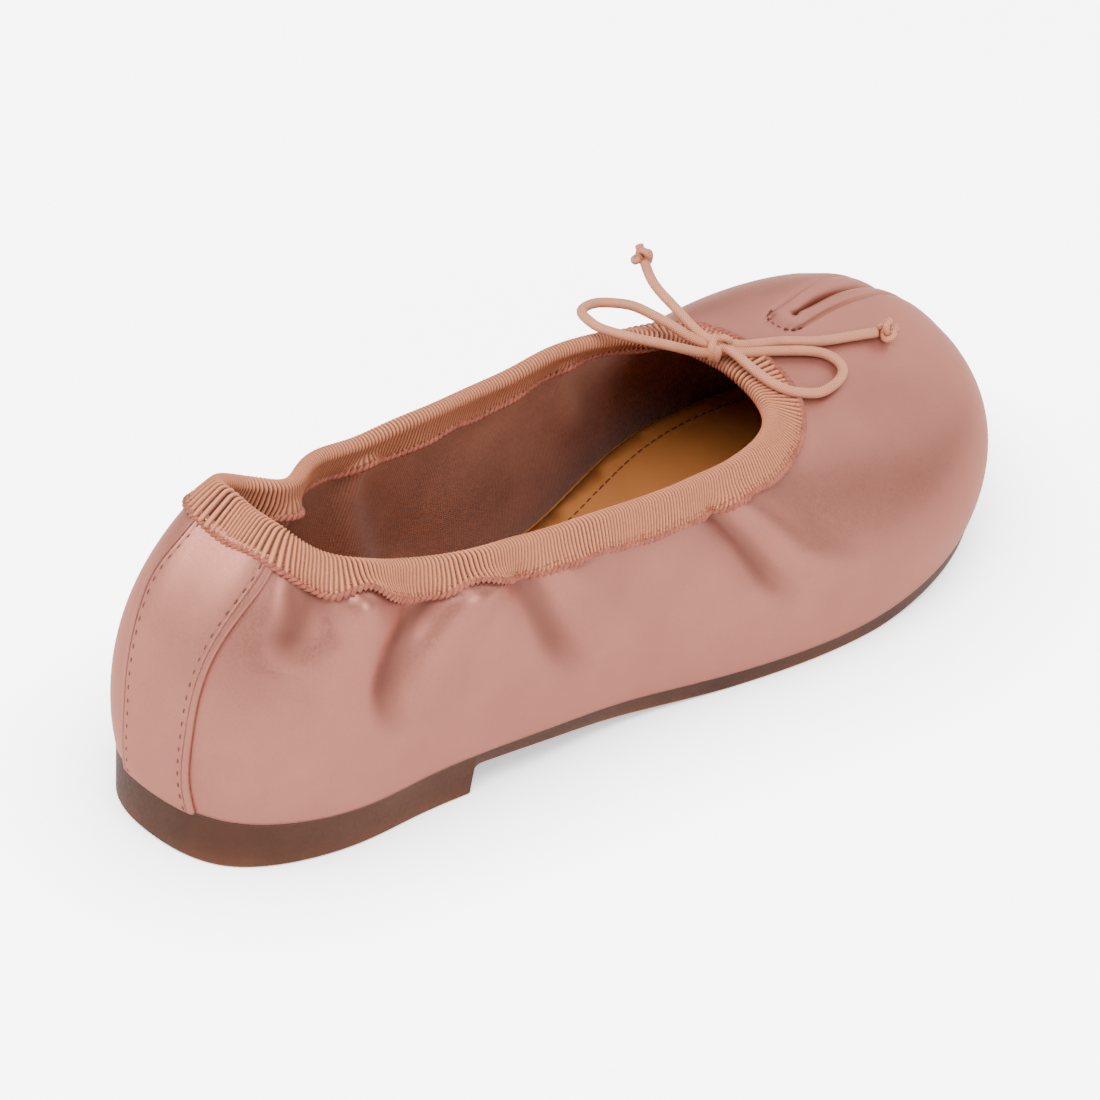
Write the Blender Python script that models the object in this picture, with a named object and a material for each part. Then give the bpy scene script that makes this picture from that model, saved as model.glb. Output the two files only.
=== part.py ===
"""Split-toe ballet flat: satin upper, taped collar, moulded sole and a cord bow, right foot.

Shoe sizes below are in millimetres: `along` runs from the heel to the toe, `across` is positive
on the outer (lateral) side, and heights are above the floor. The world has the toe towards -Y,
the outer side towards -X and +Z up, in metres.
"""
from collections import namedtuple
import math

import bpy
import numpy as np
from mathutils.geometry import delaunay_2d_cdt

MM = 0.001

# Middle of the shoe's box, which becomes the world origin.
MID_ALONG = 121.6
MID_ACROSS = -0.6

# Walls and fits.
UPPER_WALL = 1.5
FIT_GAP = 0.3
MARGIN_WIDTH = 7.5
MARGIN_THICKNESS = 1.3

# Taped collar, folded over the upper's top edge.
TAPE_THICKNESS = 0.9
TAPE_OUTER_DROP = 7.4
TAPE_INNER_DROP = 6.6
TAPE_STEPS = 2
TAPE_CREST_RISE = 0.4

# Strip up the back seam.
STRIP_HALF_WIDTH = 10.0
STRIP_FLARE = 1.5
STRIP_THICKNESS = 1.0

# Sole unit: heel in one with the forepart.
BREAST_ALONG = 68.0
BREAST_FILLET = 2.5
WAIST_EDGE = 3.9
FOREPART_EDGE = 5.0
WAIST_RUN = 50.0
SOLE_DRAFT = 0.9
SOLE_CORNER = 0.5
INSOLE_THICKNESS = 1.6
INSOLE_INSET = 2.8

# Toe split.
CLEFT_DEPTH = 12.0
CLEFT_END_ALONG = 191.8
CLEFT_FADE = 7.0
SEAM_BAND = 4.2
SEAM_RISE = 0.5

# Bow.
CORD_DIAMETER = 2.3
CORD_STEP = 5.5
KNOT_RADII = (3.3, 2.8, 2.7)
KNOT_CENTRE = (167.9, -7.4, 57.4)
TAIL_KNOT_RADIUS = 2.5

# Rows up the face and columns around the shoe. A flank column stands between the strip and the
# heel's corner; the even columns start clear of the corner and of the toe split.
RING_ROWS = (0.0, 0.07, 0.15, 0.25, 0.36, 0.47, 0.58, 0.7, 0.82, 0.92, 1.0)
SIDE_COLUMNS = 38
END_CROWDING = 0.08
FLANK_SHARE = 0.78
FLANK_LEAN_SHARE = 0.33
CORNER_CLEARANCE_SHARE = 1.2
SPLIT_CLEARANCE = 3.5
STRIP_SIDE_STEP = 0.6

# Lattice of places inside the sole's and the insole's broad faces.
LID_CLEARANCE = 6.0
LID_STEP = 16.0

# One row for each rib around the shoe, from the back seam along the outer side to the toe split
# and back along the inner side. The foot end of a rib stands on the feather line and leans out by
# `flare` degrees, the top end lies at the collar and leans in by `tuck` degrees. `stand` and
# `brow` say how far each end keeps its own direction.
Rib = namedtuple("Rib", "name along across top_along top_across top flare stand tuck brow")
RIBS = (
    Rib("back", 1.8, 0.0, 23.0, 0.0, 75.8, 13, 23, 46, 20.5),
    Rib("corner", 7.6, 18.2, 23.0, 10.5, 76.0, 12, 24, 40, 16),
    Rib("heel", 26.2, 27.8, 29.0, 17.3, 71.8, 12, 24, 23, 13),
    Rib("quarter", 54.0, 29.7, 55.0, 24.6, 64.2, 11, 21, 20, 15),
    Rib("waist", 87.5, 31.8, 92.0, 27.8, 60.0, 11, 18, 19, 15),
    Rib("arch", 118.0, 32.2, 129.0, 27.6, 55.8, 12, 18, 24, 16),
    Rib("joint", 150.0, 37.3, 151.0, 23.6, 53.9, 16, 19, 39, 16),
    Rib("vamp", 181.7, 39.3, 162.5, 17.2, 52.4, 18, 21, 60, 23),
    Rib("toe_side", 209.5, 34.2, 167.8, 11.0, 51.8, 17, 26, 78, 33),
    Rib("little_toes", 231.0, 21.6, 170.0, 5.0, 51.9, 14, 29, 91, 41),
    Rib("second_toe", 242.5, 2.5, 170.8, -0.2, 52.3, 13, 30, 98, 46),
    Rib("split", 243.5, -14.8, 170.3, -5.6, 53.0, 12, 31, 101, 48),
    Rib("big_toe", 240.8, -26.9, 168.8, -10.0, 53.8, 13, 29, 97, 45),
    Rib("big_toe_side", 225.8, -36.2, 166.0, -14.6, 55.0, 15, 27, 86, 37),
    Rib("vamp_inner", 196.0, -39.6, 159.5, -19.4, 56.8, 18, 21, 65, 25),
    Rib("joint_inner", 160.0, -33.9, 147.0, -23.3, 58.6, 17, 19, 42, 18),
    Rib("arch_inner", 124.0, -25.9, 123.0, -23.8, 58.8, 12, 18, 25, 16),
    Rib("waist_inner", 88.0, -25.3, 89.0, -23.2, 60.2, 11, 18, 20, 15),
    Rib("quarter_inner", 54.0, -28.4, 54.0, -19.2, 62.4, 11, 22, 22, 15),
    Rib("heel_inner", 25.8, -27.7, 30.5, -13.6, 72.2, 12, 26, 28, 15),
    Rib("corner_inner", 7.0, -17.9, 24.0, -10.8, 75.8, 14, 27, 48, 19.5),
)

# Height of the feather line, where the upper meets the sole, along the shoe.
Feather = namedtuple("Feather", "along height")
FEATHER_LINE = (
    Feather(-6.0, 13.9), Feather(8.0, 12.8), Feather(26.0, 11.5), Feather(54.0, 11.2),
    Feather(88.0, 10.6), Feather(104.0, 8.7), Feather(120.0, 6.5), Feather(136.0, 5.2),
    Feather(152.0, 4.8), Feather(184.0, 5.0), Feather(200.0, 6.2), Feather(216.0, 8.1),
    Feather(232.0, 11.1), Feather(250.0, 14.3),
)

# Section across half of the toe split, from its middle outwards: where the outside of the upper,
# its inside and the edge of the margin under it run, as across and depth.
Fold = namedtuple("Fold", "face_across face_depth back_across back_depth edge_across edge_depth")
SPLIT_FOLDS = (
    Fold(0.0, 1.00, 0.0, 1.13, 0.0, 1.62),
    Fold(0.5, 0.93, 1.5, 1.10, 3.0, 1.58),
    Fold(0.6, 0.50, 2.1, 0.93, 5.5, 1.35),
    Fold(0.8, 0.20, 2.3, 0.50, 7.2, 0.95),
    Fold(1.7, 0.02, 3.0, 0.18, 8.2, 0.72),
)
BAND_OFFSETS = (3.0, 4.0, 4.6, 7.0, 10.5)

# Routes of the bow's cords, from the middle knot outwards: along, across, height.
BOW_ROUTES = {
    "bow_loop_inner": (
        (163.6, -10.4, 59.8), (160.8, -14.7, 61.8), (156.7, -23.0, 63.8), (150.6, -28.2, 64.0),
        (145.4, -27.6, 64.0), (144.6, -21.2, 63.8), (150.3, -13.6, 62.6), (159.8, -8.3, 59.2),
        (164.2, -7.2, 57.4),
    ),
    "bow_loop_outer": (
        (172.4, -3.0, 56.7), (178.8, -0.4, 55.6), (189.5, 5.2, 54.4), (191.5, 10.3, 52.5),
        (185.3, 13.3, 52.0), (178.2, 12.3, 53.5), (172.4, 8.2, 55.6), (170.4, 0.6, 57.0),
        (169.4, -3.2, 57.7),
    ),
    "bow_tail_inner": (
        (166.6, -10.4, 60.6), (166.0, -14.4, 62.0), (164.9, -21.7, 64.3), (166.4, -28.4, 66.6),
        (166.9, -29.4, 67.0),
    ),
    "bow_tail_outer": (
        (171.9, -6.6, 58.2), (176.5, -5.0, 57.5), (184.1, -2.6, 56.5), (198.0, 3.2, 54.4),
        (207.4, 5.2, 53.5),
    ),
}
TAIL_KNOT_CENTRES = {
    "tail_knot_inner": (167.4, -31.6, 68.1),
    "tail_knot_outer": (209.9, 5.9, 53.5),
}

Finish = namedtuple("Finish", "name colour roughness")
SATIN = Finish("rose_satin", (0.54, 0.29, 0.24), 0.42)
TAPE = Finish("ribbed_tape", (0.50, 0.26, 0.18), 0.75)
MOULDED = Finish("brown_sole", (0.20, 0.085, 0.045), 0.55)
SOCK = Finish("tan_sock_leather", (0.40, 0.15, 0.035), 0.6)
CORD = Finish("peach_cord", (0.68, 0.40, 0.28), 0.7)


def to_world(along, across, height):
    """World position in metres of a place on the shoe given in millimetres."""
    return np.stack([
        (MID_ACROSS - across) * MM, (MID_ALONG - along) * MM, height * MM,
    ], axis=-1)


def spline_slopes(knots, values):
    """Slopes at the knots of a natural cubic spline through one column of values."""
    count = len(knots)
    gaps = np.diff(knots)
    matrix = np.zeros((count, count))
    right = np.zeros(count)
    for i in range(1, count - 1):
        matrix[i, i - 1] = 1 / gaps[i - 1]
        matrix[i, i] = 2 / gaps[i - 1] + 2 / gaps[i]
        matrix[i, i + 1] = 1 / gaps[i]
        right[i] = 3 * ((values[i] - values[i - 1]) / gaps[i - 1] ** 2
                        + (values[i + 1] - values[i]) / gaps[i] ** 2)
    matrix[0, 0], matrix[0, 1] = 2 / gaps[0], 1 / gaps[0]
    right[0] = 3 * (values[1] - values[0]) / gaps[0] ** 2
    matrix[-1, -1], matrix[-1, -2] = 2 / gaps[-1], 1 / gaps[-1]
    right[-1] = 3 * (values[-1] - values[-2]) / gaps[-1] ** 2
    return np.linalg.solve(matrix, right)


def hermite(knots, values, slopes, at):
    """Values of a cubic spline, given by its slopes at the knots."""
    cell = np.clip(np.searchsorted(knots, at, side="right") - 1, 0, len(knots) - 2)
    gap = knots[cell + 1] - knots[cell]
    t = (at - knots[cell]) / gap
    return ((1 + 2 * t) * (1 - t) ** 2 * values[cell] + t * (1 - t) ** 2 * gap * slopes[cell]
            + t * t * (3 - 2 * t) * values[cell + 1] + t * t * (t - 1) * gap * slopes[cell + 1])


FEATHER_KNOTS = np.array([row.along for row in FEATHER_LINE])
FEATHER_HEIGHTS = np.array([row.height for row in FEATHER_LINE])
FEATHER_SLOPES = spline_slopes(FEATHER_KNOTS, FEATHER_HEIGHTS)


def feather_height(along):
    """Height of the top of the sole's edge."""
    return hermite(FEATHER_KNOTS, FEATHER_HEIGHTS, FEATHER_SLOPES, np.asarray(along, float))


def tread_height(along):
    """Height of the sole's underside: flat heel, breast, arch, flat forepart and toe spring."""
    along = np.asarray(along, float)
    blend = np.clip((along - BREAST_ALONG) / WAIST_RUN, 0, 1)
    edge = WAIST_EDGE + (FOREPART_EDGE - WAIST_EDGE) * blend
    arch = np.maximum(feather_height(along) - edge, 0)
    run = np.clip((along - BREAST_ALONG) / BREAST_FILLET, 0, 1)
    fillet = BREAST_FILLET * (1 - np.sqrt(1 - (1 - run) ** 2))
    return np.where(along <= BREAST_ALONG, 0.0, np.maximum(arch - fillet, 0))


class Last:
    """The surface that the upper is drawn over, as ribs between the feather line and the collar."""

    def __init__(self, ribs):
        rows = np.array([rib[1:] for rib in ribs], float)
        laps = 3
        tiled = np.vstack([rows] * laps + [rows[:1]])
        foot = np.linalg.norm(np.diff(tiled[:, 0:2], axis=0), axis=1)
        top = np.linalg.norm(np.diff(tiled[:, 2:4], axis=0), axis=1)
        self.knots = np.concatenate([[0.0], np.cumsum(0.6 * foot + 0.4 * top)])
        self.length = self.knots[len(rows)]
        self.knots = self.knots - self.length
        self.columns = [tiled[:, i] for i in range(tiled.shape[1])]
        self.slopes = [spline_slopes(self.knots, column) for column in self.columns]
        self.place = {rib.name: self.knots[len(rows) + i] for i, rib in enumerate(ribs)}

    def rib(self, u):
        """Rib values at places u around the shoe."""
        u = np.mod(u, self.length)
        return [hermite(self.knots, c, s, u) for c, s in zip(self.columns, self.slopes)]

    def outward(self, u, first):
        """Outward direction in plan of the feather line (first 0) or the collar (first 2)."""
        step = 0.05
        ahead, behind = self.rib(u + step), self.rib(u - step)
        along = ahead[first] - behind[first]
        across = ahead[first + 1] - behind[first + 1]
        size = np.hypot(along, across) + 1e-9
        return -across / size, along / size

    def point(self, u, v):
        """Place on the surface, v from 0 at the feather line to 1 at the collar."""
        u, v = np.broadcast_arrays(np.asarray(u, float), np.asarray(v, float))
        along, across, top_along, top_across, top, flare, stand, tuck, brow = self.rib(u)
        foot_out, top_out = self.outward(u, 0), self.outward(u, 2)
        flare, tuck = np.radians(flare), np.radians(tuck)
        low = feather_height(along)
        ends = (
            (along, across, low),
            (along + stand * np.sin(flare) * foot_out[0], across + stand * np.sin(flare) * foot_out[1],
             low + stand * np.cos(flare)),
            (top_along + brow * np.sin(tuck) * top_out[0], top_across + brow * np.sin(tuck) * top_out[1],
             top - brow * np.cos(tuck)),
            (top_along, top_across, top),
        )
        weights = ((1 - v) ** 3, 3 * v * (1 - v) ** 2, 3 * v * v * (1 - v), v ** 3)
        return np.stack([sum(w * end[i] for w, end in zip(weights, ends)) for i in range(3)], axis=-1)

    def frame(self, u, v):
        """Place, direction around the shoe and outward normal, with the pace around the shoe."""
        du, dv = 0.05, 0.004
        low, high = np.clip(np.asarray(v) - dv, 0, 1), np.clip(np.asarray(v) + dv, 0, 1)
        around = (self.point(u + du, v) - self.point(u - du, v)) / (2 * du)
        up = (self.point(u, high) - self.point(u, low)) / (high - low)[..., None]
        normal = -np.cross(around, up)
        normal /= np.linalg.norm(normal, axis=-1, keepdims=True)
        pace = np.linalg.norm(around, axis=-1)
        return self.point(u, v), around / pace[..., None], normal, pace


LAST = Last(RIBS)


def collar_steps(u, drops):
    """Values of v at distances below the collar, measured down the surface."""
    v = np.linspace(1.0, 0.3, 60)
    path = LAST.point(np.full_like(v, u), v)
    run = np.concatenate([[0.0], np.cumsum(np.linalg.norm(np.diff(path, axis=0), axis=1))])
    return np.interp(drops, run, v)


def split_end():
    """Value of v where the toe split ends on its rib."""
    v = np.linspace(0.3, 1.0, 200)
    along = LAST.point(np.full_like(v, LAST.place["split"]), v)[:, 0]
    return float(np.interp(-CLEFT_END_ALONG, -along, v))


class Column:
    """One line up the shoe: at a place around it, shifted by millimetres across that place."""

    def __init__(self, u, shift=0.0, fold=None, side=1, lean=0.0):
        self.u = u
        self.shift = shift
        self.lean = lean
        self.fold = fold
        self.side = side
        drops = np.linspace(TAPE_OUTER_DROP, 0.0, TAPE_STEPS + 1)
        self.top_place = u + lean
        top = collar_steps(self.top_place, drops)
        self.rows = np.concatenate([np.array(RING_ROWS) * top[0], top[1:]])

    def points(self, rows, inset):
        """Places at the given v, inset from the face by so many millimetres."""
        rows = np.asarray(rows, float)
        anchor, _, _, pace = LAST.frame(np.full_like(rows, self.u), rows)
        if self.u == LAST.place["split"]:
            pace = np.maximum(pace, SPLIT_PACE)
        if self.fold is None:
            shift = self.shift
            if self.u == 0.0:
                shift = shift * (1 + STRIP_FLARE / STRIP_HALF_WIDTH * rows)
            place, _, normal, _ = LAST.frame(self.u + shift / pace + self.lean * rows, rows)
            return place - normal * np.asarray(inset)[..., None]
        return self.folded(rows, inset, anchor, pace)

    def folded(self, rows, inset, anchor, pace):
        """Places in the toe split, where the wall dips between the lobes."""
        end = LAST.point(LAST.place["split"], SPLIT_END)
        reach = np.linalg.norm(anchor - end, axis=-1) * np.sign(SPLIT_END - rows)
        open_share = np.clip(reach / CLEFT_FADE, 0, 1)
        open_share = open_share * (2 - open_share)
        inset = np.broadcast_to(np.asarray(inset, float), rows.shape)
        wall = np.clip(inset / UPPER_WALL, 0, 1)
        edge = np.clip((inset - UPPER_WALL) / (MARGIN_WIDTH - UPPER_WALL), 0, 1)
        f = self.fold
        across = (f.face_across + wall * (f.back_across - f.face_across)
                  + edge * (f.edge_across - f.back_across))
        depth = CLEFT_DEPTH * (f.face_depth + wall * (f.back_depth - f.face_depth)
                               + edge * (f.edge_depth - f.back_depth))
        across = self.shift + open_share * (across - self.shift)
        depth = inset + open_share * (depth - inset)
        place, _, normal, _ = LAST.frame(self.u + self.side * across / pace, rows)
        return place - normal * depth[..., None]

    def face(self, rows, inset=0.0):
        """Places on the outside, with the raised band along the toe split."""
        rows = np.asarray(rows, float)
        inset = np.broadcast_to(np.asarray(inset, float), rows.shape)
        return self.points(rows, inset - self.band(rows))

    def band(self, rows):
        """Rise of the stitched band beside the toe split."""
        if self.shift == 0.0 and self.fold is None:
            return np.zeros_like(rows)
        if abs(self.u - LAST.place["split"]) > 1.0 or self.shift > SEAM_BAND:
            return np.zeros_like(rows)
        end = LAST.point(LAST.place["split"], SPLIT_END)
        past = np.linalg.norm(self.points(rows, np.zeros_like(rows)) - end, axis=-1)
        inside = np.where(rows <= SPLIT_END, True, past < SEAM_BAND)
        return np.where(inside, SEAM_RISE, 0.0)


SPLIT_END = split_end()
SPLIT_PACE = float(LAST.frame(np.array([LAST.place["split"]]), np.array([SPLIT_END]))[3][0])


def side_places(start, stop, count):
    """Places around one side of the shoe, closer together towards the heel and the toe."""
    share = np.linspace(0, 1, count + 2)[1:-1]
    share = share - END_CROWDING * np.sin(2 * math.pi * share)
    return start + (stop - start) * share


def breast_places():
    """Places of the heel's breast on the outer and the inner side."""
    found = []
    for low, high in (("quarter", "waist"), ("waist_inner", "quarter_inner")):
        u = np.linspace(LAST.place[low], LAST.place[high], 400)
        along = LAST.rib(u)[0]
        order = np.argsort(along)
        found.append([float(np.interp(BREAST_ALONG + d, along[order], u[order]))
                      for d in (0.0, 0.05, 0.8, BREAST_FILLET)])
    return found


def make_columns():
    """All columns around the shoe, in order, from the back seam."""
    back_steps = (0.0, STRIP_HALF_WIDTH / 2, STRIP_HALF_WIDTH, STRIP_HALF_WIDTH + STRIP_SIDE_STEP)
    split = LAST.place["split"]
    corner = LAST.place["corner"]
    outer_breast, inner_breast = breast_places()
    columns = [Column(0.0, shift) for shift in back_steps]
    flank, flank_lean = corner * FLANK_SHARE, corner * FLANK_LEAN_SHARE
    columns.append(Column(flank, lean=flank_lean))
    clear_back = corner * CORNER_CLEARANCE_SHARE
    clear_split = BAND_OFFSETS[-1] + SPLIT_CLEARANCE
    span = split - clear_back - clear_split
    outer = sorted([*side_places(clear_back, clear_back + span, SIDE_COLUMNS), *outer_breast])
    columns += [Column(u) for u in outer]
    columns += [Column(split, -shift) for shift in reversed(BAND_OFFSETS)]
    columns += [Column(split, fold.face_across, fold, -1) for fold in reversed(SPLIT_FOLDS)]
    columns += [Column(split, fold.face_across, fold, 1) for fold in SPLIT_FOLDS[1:]]
    columns += [Column(split, shift) for shift in BAND_OFFSETS]
    end = LAST.length - clear_back
    inner = sorted([*side_places(split + clear_split, end, SIDE_COLUMNS), *inner_breast])
    columns += [Column(u) for u in inner]
    columns.append(Column(LAST.length - flank, lean=-flank_lean))
    columns += [Column(0.0, -shift) for shift in reversed(back_steps[1:])]
    return columns


COLUMNS = make_columns()


def outline(inset):
    """Plan outline of the feather line, inset by so many millimetres: along and across."""
    rows = np.zeros(1)
    places = []
    for column in COLUMNS:
        place = column.points(rows, np.array([inset]))[0]
        places.append(place[:2])
    return np.array(places)


def material(finish):
    """Principled material of a finish, made once."""
    found = bpy.data.materials.get(finish.name)
    if found:
        return found
    made = bpy.data.materials.new(finish.name)
    made.use_nodes = True
    shader = made.node_tree.nodes["Principled BSDF"]
    shader.inputs["Base Color"].default_value = (*finish.colour, 1.0)
    shader.inputs["Roughness"].default_value = finish.roughness
    shader.inputs["Metallic"].default_value = 0.0
    made.diffuse_color = (*finish.colour, 1.0)
    return made


def add_mesh(name, places, faces, finish):
    """Object from places in shoe millimetres and faces, shaded smooth."""
    places = np.asarray(places, float)
    world = to_world(places[:, 0], places[:, 1], places[:, 2])
    mesh = bpy.data.meshes.new(name)
    mesh.from_pydata(world.tolist(), [], faces)
    mesh.validate()
    mesh.polygons.foreach_set("use_smooth", [True] * len(mesh.polygons))
    mesh.materials.append(material(finish))
    made = bpy.data.objects.new(name, mesh)
    bpy.context.scene.collection.objects.link(made)
    return made


def ring_faces(loops, size, closed):
    """Quads between neighbouring closed sections, each of the same size."""
    faces = []
    last = loops if closed else loops - 1
    for i in range(last):
        j = (i + 1) % loops
        for k in range(size):
            m = (k + 1) % size
            faces.append((i * size + k, j * size + k, j * size + m, i * size + m))
    if not closed:
        faces.append(tuple(range(size)))
        faces.append(tuple((loops - 1) * size + k for k in reversed(range(size))))
    return faces


def upper_section(column):
    """Closed wall section: margin, face, rim and inside."""
    rows = column.rows
    low = rows[:1]
    face = column.face(rows)
    inside = column.points(rows[1:], np.full(len(rows) - 1, UPPER_WALL))
    margin_tip = column.points(low, np.array([MARGIN_WIDTH]))
    heel_corner = column.points(low, np.array([UPPER_WALL]))
    for place in (margin_tip, heel_corner, face[:1]):
        place[:, 2] = feather_height(place[:, 0])
    margin_top = margin_tip + (0, 0, MARGIN_THICKNESS)
    inside_corner = heel_corner + (0, 0, MARGIN_THICKNESS)
    return np.vstack([margin_tip, face, inside[::-1], inside_corner, margin_top])


def add_upper():
    """Hollow satin upper, open at the collar and underneath."""
    sections = [upper_section(column) for column in COLUMNS]
    faces = ring_faces(len(sections), len(sections[0]), True)
    return add_mesh("upper", np.vstack(sections), faces, SATIN)


def tape_section(column):
    """Closed section of the tape: a channel over the upper's top edge."""
    outer = collar_steps(column.top_place, np.linspace(TAPE_OUTER_DROP, 0, TAPE_STEPS + 1))
    inner = collar_steps(column.top_place, np.linspace(TAPE_INNER_DROP, 0, TAPE_STEPS + 1))
    near, far = FIT_GAP, FIT_GAP + TAPE_THICKNESS
    outside = column.points(outer, np.full(len(outer), -far))
    channel_out = column.points(outer, np.full(len(outer), -near))
    channel_in = column.points(inner, np.full(len(inner), UPPER_WALL + near))
    inside = column.points(inner, np.full(len(inner), UPPER_WALL + far))
    rise = column.points(outer[-1:], np.array([UPPER_WALL / 2]))
    below = column.points(outer[-2:-1], np.array([UPPER_WALL / 2]))
    up = (rise - below) / np.linalg.norm(rise - below)
    crest = rise + up * (far + TAPE_CREST_RISE)
    shoulder_out = outside[-1:] + up * near
    shoulder_in = inside[-1:] + up * near
    roof_out = channel_out[-1:] + up * near
    roof_in = channel_in[-1:] + up * near
    return np.vstack([
        outside[:-1], shoulder_out, crest, shoulder_in, inside[:-1][::-1],
        channel_in[:-1], roof_in, roof_out, channel_out[:-1][::-1],
    ])


def add_collar_tape():
    """Ribbed tape folded over the collar all the way round."""
    sections = [tape_section(column) for column in COLUMNS]
    faces = ring_faces(len(sections), len(sections[0]), True)
    return add_mesh("collar_binding", np.vstack(sections), faces, TAPE)


def add_heel_strip():
    """Raised strip up the back seam, from the sole to the tape."""
    shifts = [column for column in COLUMNS
              if column.u == 0.0 and abs(column.shift) <= STRIP_HALF_WIDTH]
    shifts.sort(key=lambda column: column.shift)
    sections = []
    for column in shifts:
        rows = column.rows[:len(RING_ROWS)].copy()
        rows[-1] = collar_steps(column.u, [TAPE_OUTER_DROP + FIT_GAP])[0]
        near = column.points(rows, np.full(len(rows), -FIT_GAP))
        far = column.points(rows, np.full(len(rows), -FIT_GAP - STRIP_THICKNESS))
        sections.append(np.vstack([far, near[::-1]]))
    faces = ring_faces(len(sections), len(sections[0]), False)
    return add_mesh("heel_strip", np.vstack(sections), faces, SATIN)


def inner_lattice(edge, clearance, step):
    """Lattice points inside an outline, clear of its edge."""
    low, high = edge.min(axis=0), edge.max(axis=0)
    stations = [a for a in np.arange(low[0] + clearance, high[0], step)
                if abs(a - BREAST_ALONG) > step / 2]
    stations += [BREAST_ALONG, BREAST_ALONG + 0.05, BREAST_ALONG + 0.8, BREAST_ALONG + BREAST_FILLET]
    nexts = np.roll(edge, -1, axis=0)
    found = []
    for along in stations:
        for across in np.arange(low[1], high[1], step):
            run = nexts - edge
            share = np.clip(((along - edge[:, 0]) * run[:, 0] + (across - edge[:, 1]) * run[:, 1])
                            / np.maximum((run ** 2).sum(axis=1), 1e-9), 0, 1)
            near = edge + share[:, None] * run
            if np.hypot(near[:, 0] - along, near[:, 1] - across).min() > clearance:
                found.append((along, across))
    return np.array(found)


def cap(edge, height, first, upward):
    """Lid over a plan outline: its inner places and its triangles, numbered from first."""
    inner = inner_lattice(edge, LID_CLEARANCE, LID_STEP)
    flat = [tuple(place) for place in np.vstack([edge, inner])]
    lines = [(i, (i + 1) % len(edge)) for i in range(len(edge))]
    result = delaunay_2d_cdt(flat, lines, [], 1, 1e-6)
    originals = [group[0] for group in result[3]]
    inner_places, numbers = [], {}
    for index, place in enumerate(result[0]):
        source = originals[index]
        if source < len(edge):
            numbers[index] = source
        else:
            numbers[index] = first + len(inner_places)
            inner_places.append((place[0], place[1], float(height(place[0]))))
    faces = []
    for face in result[2]:
        corners = [result[0][k] for k in face]
        turn = sum(corners[i][0] * corners[(i + 1) % 3][1] - corners[(i + 1) % 3][0] * corners[i][1]
                   for i in range(3))
        face = list(face) if (turn < 0) == upward else list(reversed(face))
        faces.append([numbers[k] for k in face])
    return inner_places, faces


def add_slab(name, rings, low_height, high_height, finish):
    """Solid between a lower and an upper surface, with the given outline rings up its edge."""
    size = len(rings[0])
    places = [place for ring in rings for place in ring]
    faces = []
    for i in range(len(rings) - 1):
        for k in range(size):
            m = (k + 1) % size
            faces.append((i * size + k, i * size + m, (i + 1) * size + m, (i + 1) * size + k))
    low_inner, low_faces = cap(rings[0][:, :2], low_height, len(places), False)
    places += [np.array(place) for place in low_inner]
    offset = (len(rings) - 1) * size
    high_inner, high_faces = cap(rings[-1][:, :2], high_height, len(places), True)
    high_first = len(places)
    places += [np.array(place) for place in high_inner]
    faces += [tuple(face) for face in low_faces]
    faces += [tuple(k if k >= high_first else k + offset for k in face) for face in high_faces]
    return add_mesh(name, np.array(places), faces, finish)


def lifted(edge, height):
    """Outline ring with its heights worked out along the shoe."""
    return np.column_stack([edge, height(edge[:, 0])])


def add_outsole():
    """Moulded sole with its heel, waist and toe spring."""
    def top_height(along):
        return feather_height(along) - FIT_GAP

    foot = outline(SOLE_DRAFT + SOLE_CORNER)
    bottom = lifted(foot, tread_height)
    low = np.column_stack([outline(SOLE_DRAFT), bottom[:, 2] + SOLE_CORNER])
    high = lifted(outline(FIT_GAP), top_height)
    return add_slab("outsole", [bottom, low, high], tread_height, top_height, MOULDED)


def add_insole():
    """Leather sock that lies on the margin inside the upper."""
    def low_height(along):
        return feather_height(along) + MARGIN_THICKNESS + FIT_GAP

    def high_height(along):
        return low_height(along) + INSOLE_THICKNESS

    edge = outline(INSOLE_INSET)
    return add_slab("insole", [lifted(edge, low_height), lifted(edge, high_height)],
                    low_height, high_height, SOCK)


def smooth_route(points, step):
    """Evenly spaced places on a smooth curve through a route's own points."""
    points = np.array(points, float)
    knots = np.concatenate([[0.0], np.cumsum(np.linalg.norm(np.diff(points, axis=0), axis=1))])
    fine = np.linspace(0, knots[-1], 400)
    path = np.column_stack([hermite(knots, points[:, i], spline_slopes(knots, points[:, i]), fine)
                            for i in range(3)])
    run = np.concatenate([[0.0], np.cumsum(np.linalg.norm(np.diff(path, axis=0), axis=1))])
    count = max(int(math.ceil(run[-1] / step)), 3)
    at = np.linspace(0, run[-1], count + 1)
    return np.column_stack([np.interp(at, run, path[:, i]) for i in range(3)])


def add_cord(name, points):
    """Round cord along a route."""
    places = smooth_route(points, CORD_STEP)
    world = to_world(places[:, 0], places[:, 1], places[:, 2])
    curve = bpy.data.curves.new(name, "CURVE")
    curve.dimensions = "3D"
    curve.bevel_depth = CORD_DIAMETER / 2 * MM
    curve.bevel_resolution = 2
    curve.use_fill_caps = True
    spline = curve.splines.new("POLY")
    spline.points.add(len(world) - 1)
    for point, place in zip(spline.points, world):
        point.co = (*place, 1.0)
    curve.materials.append(material(CORD))
    made = bpy.data.objects.new(name, curve)
    bpy.context.scene.collection.objects.link(made)
    return made


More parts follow.
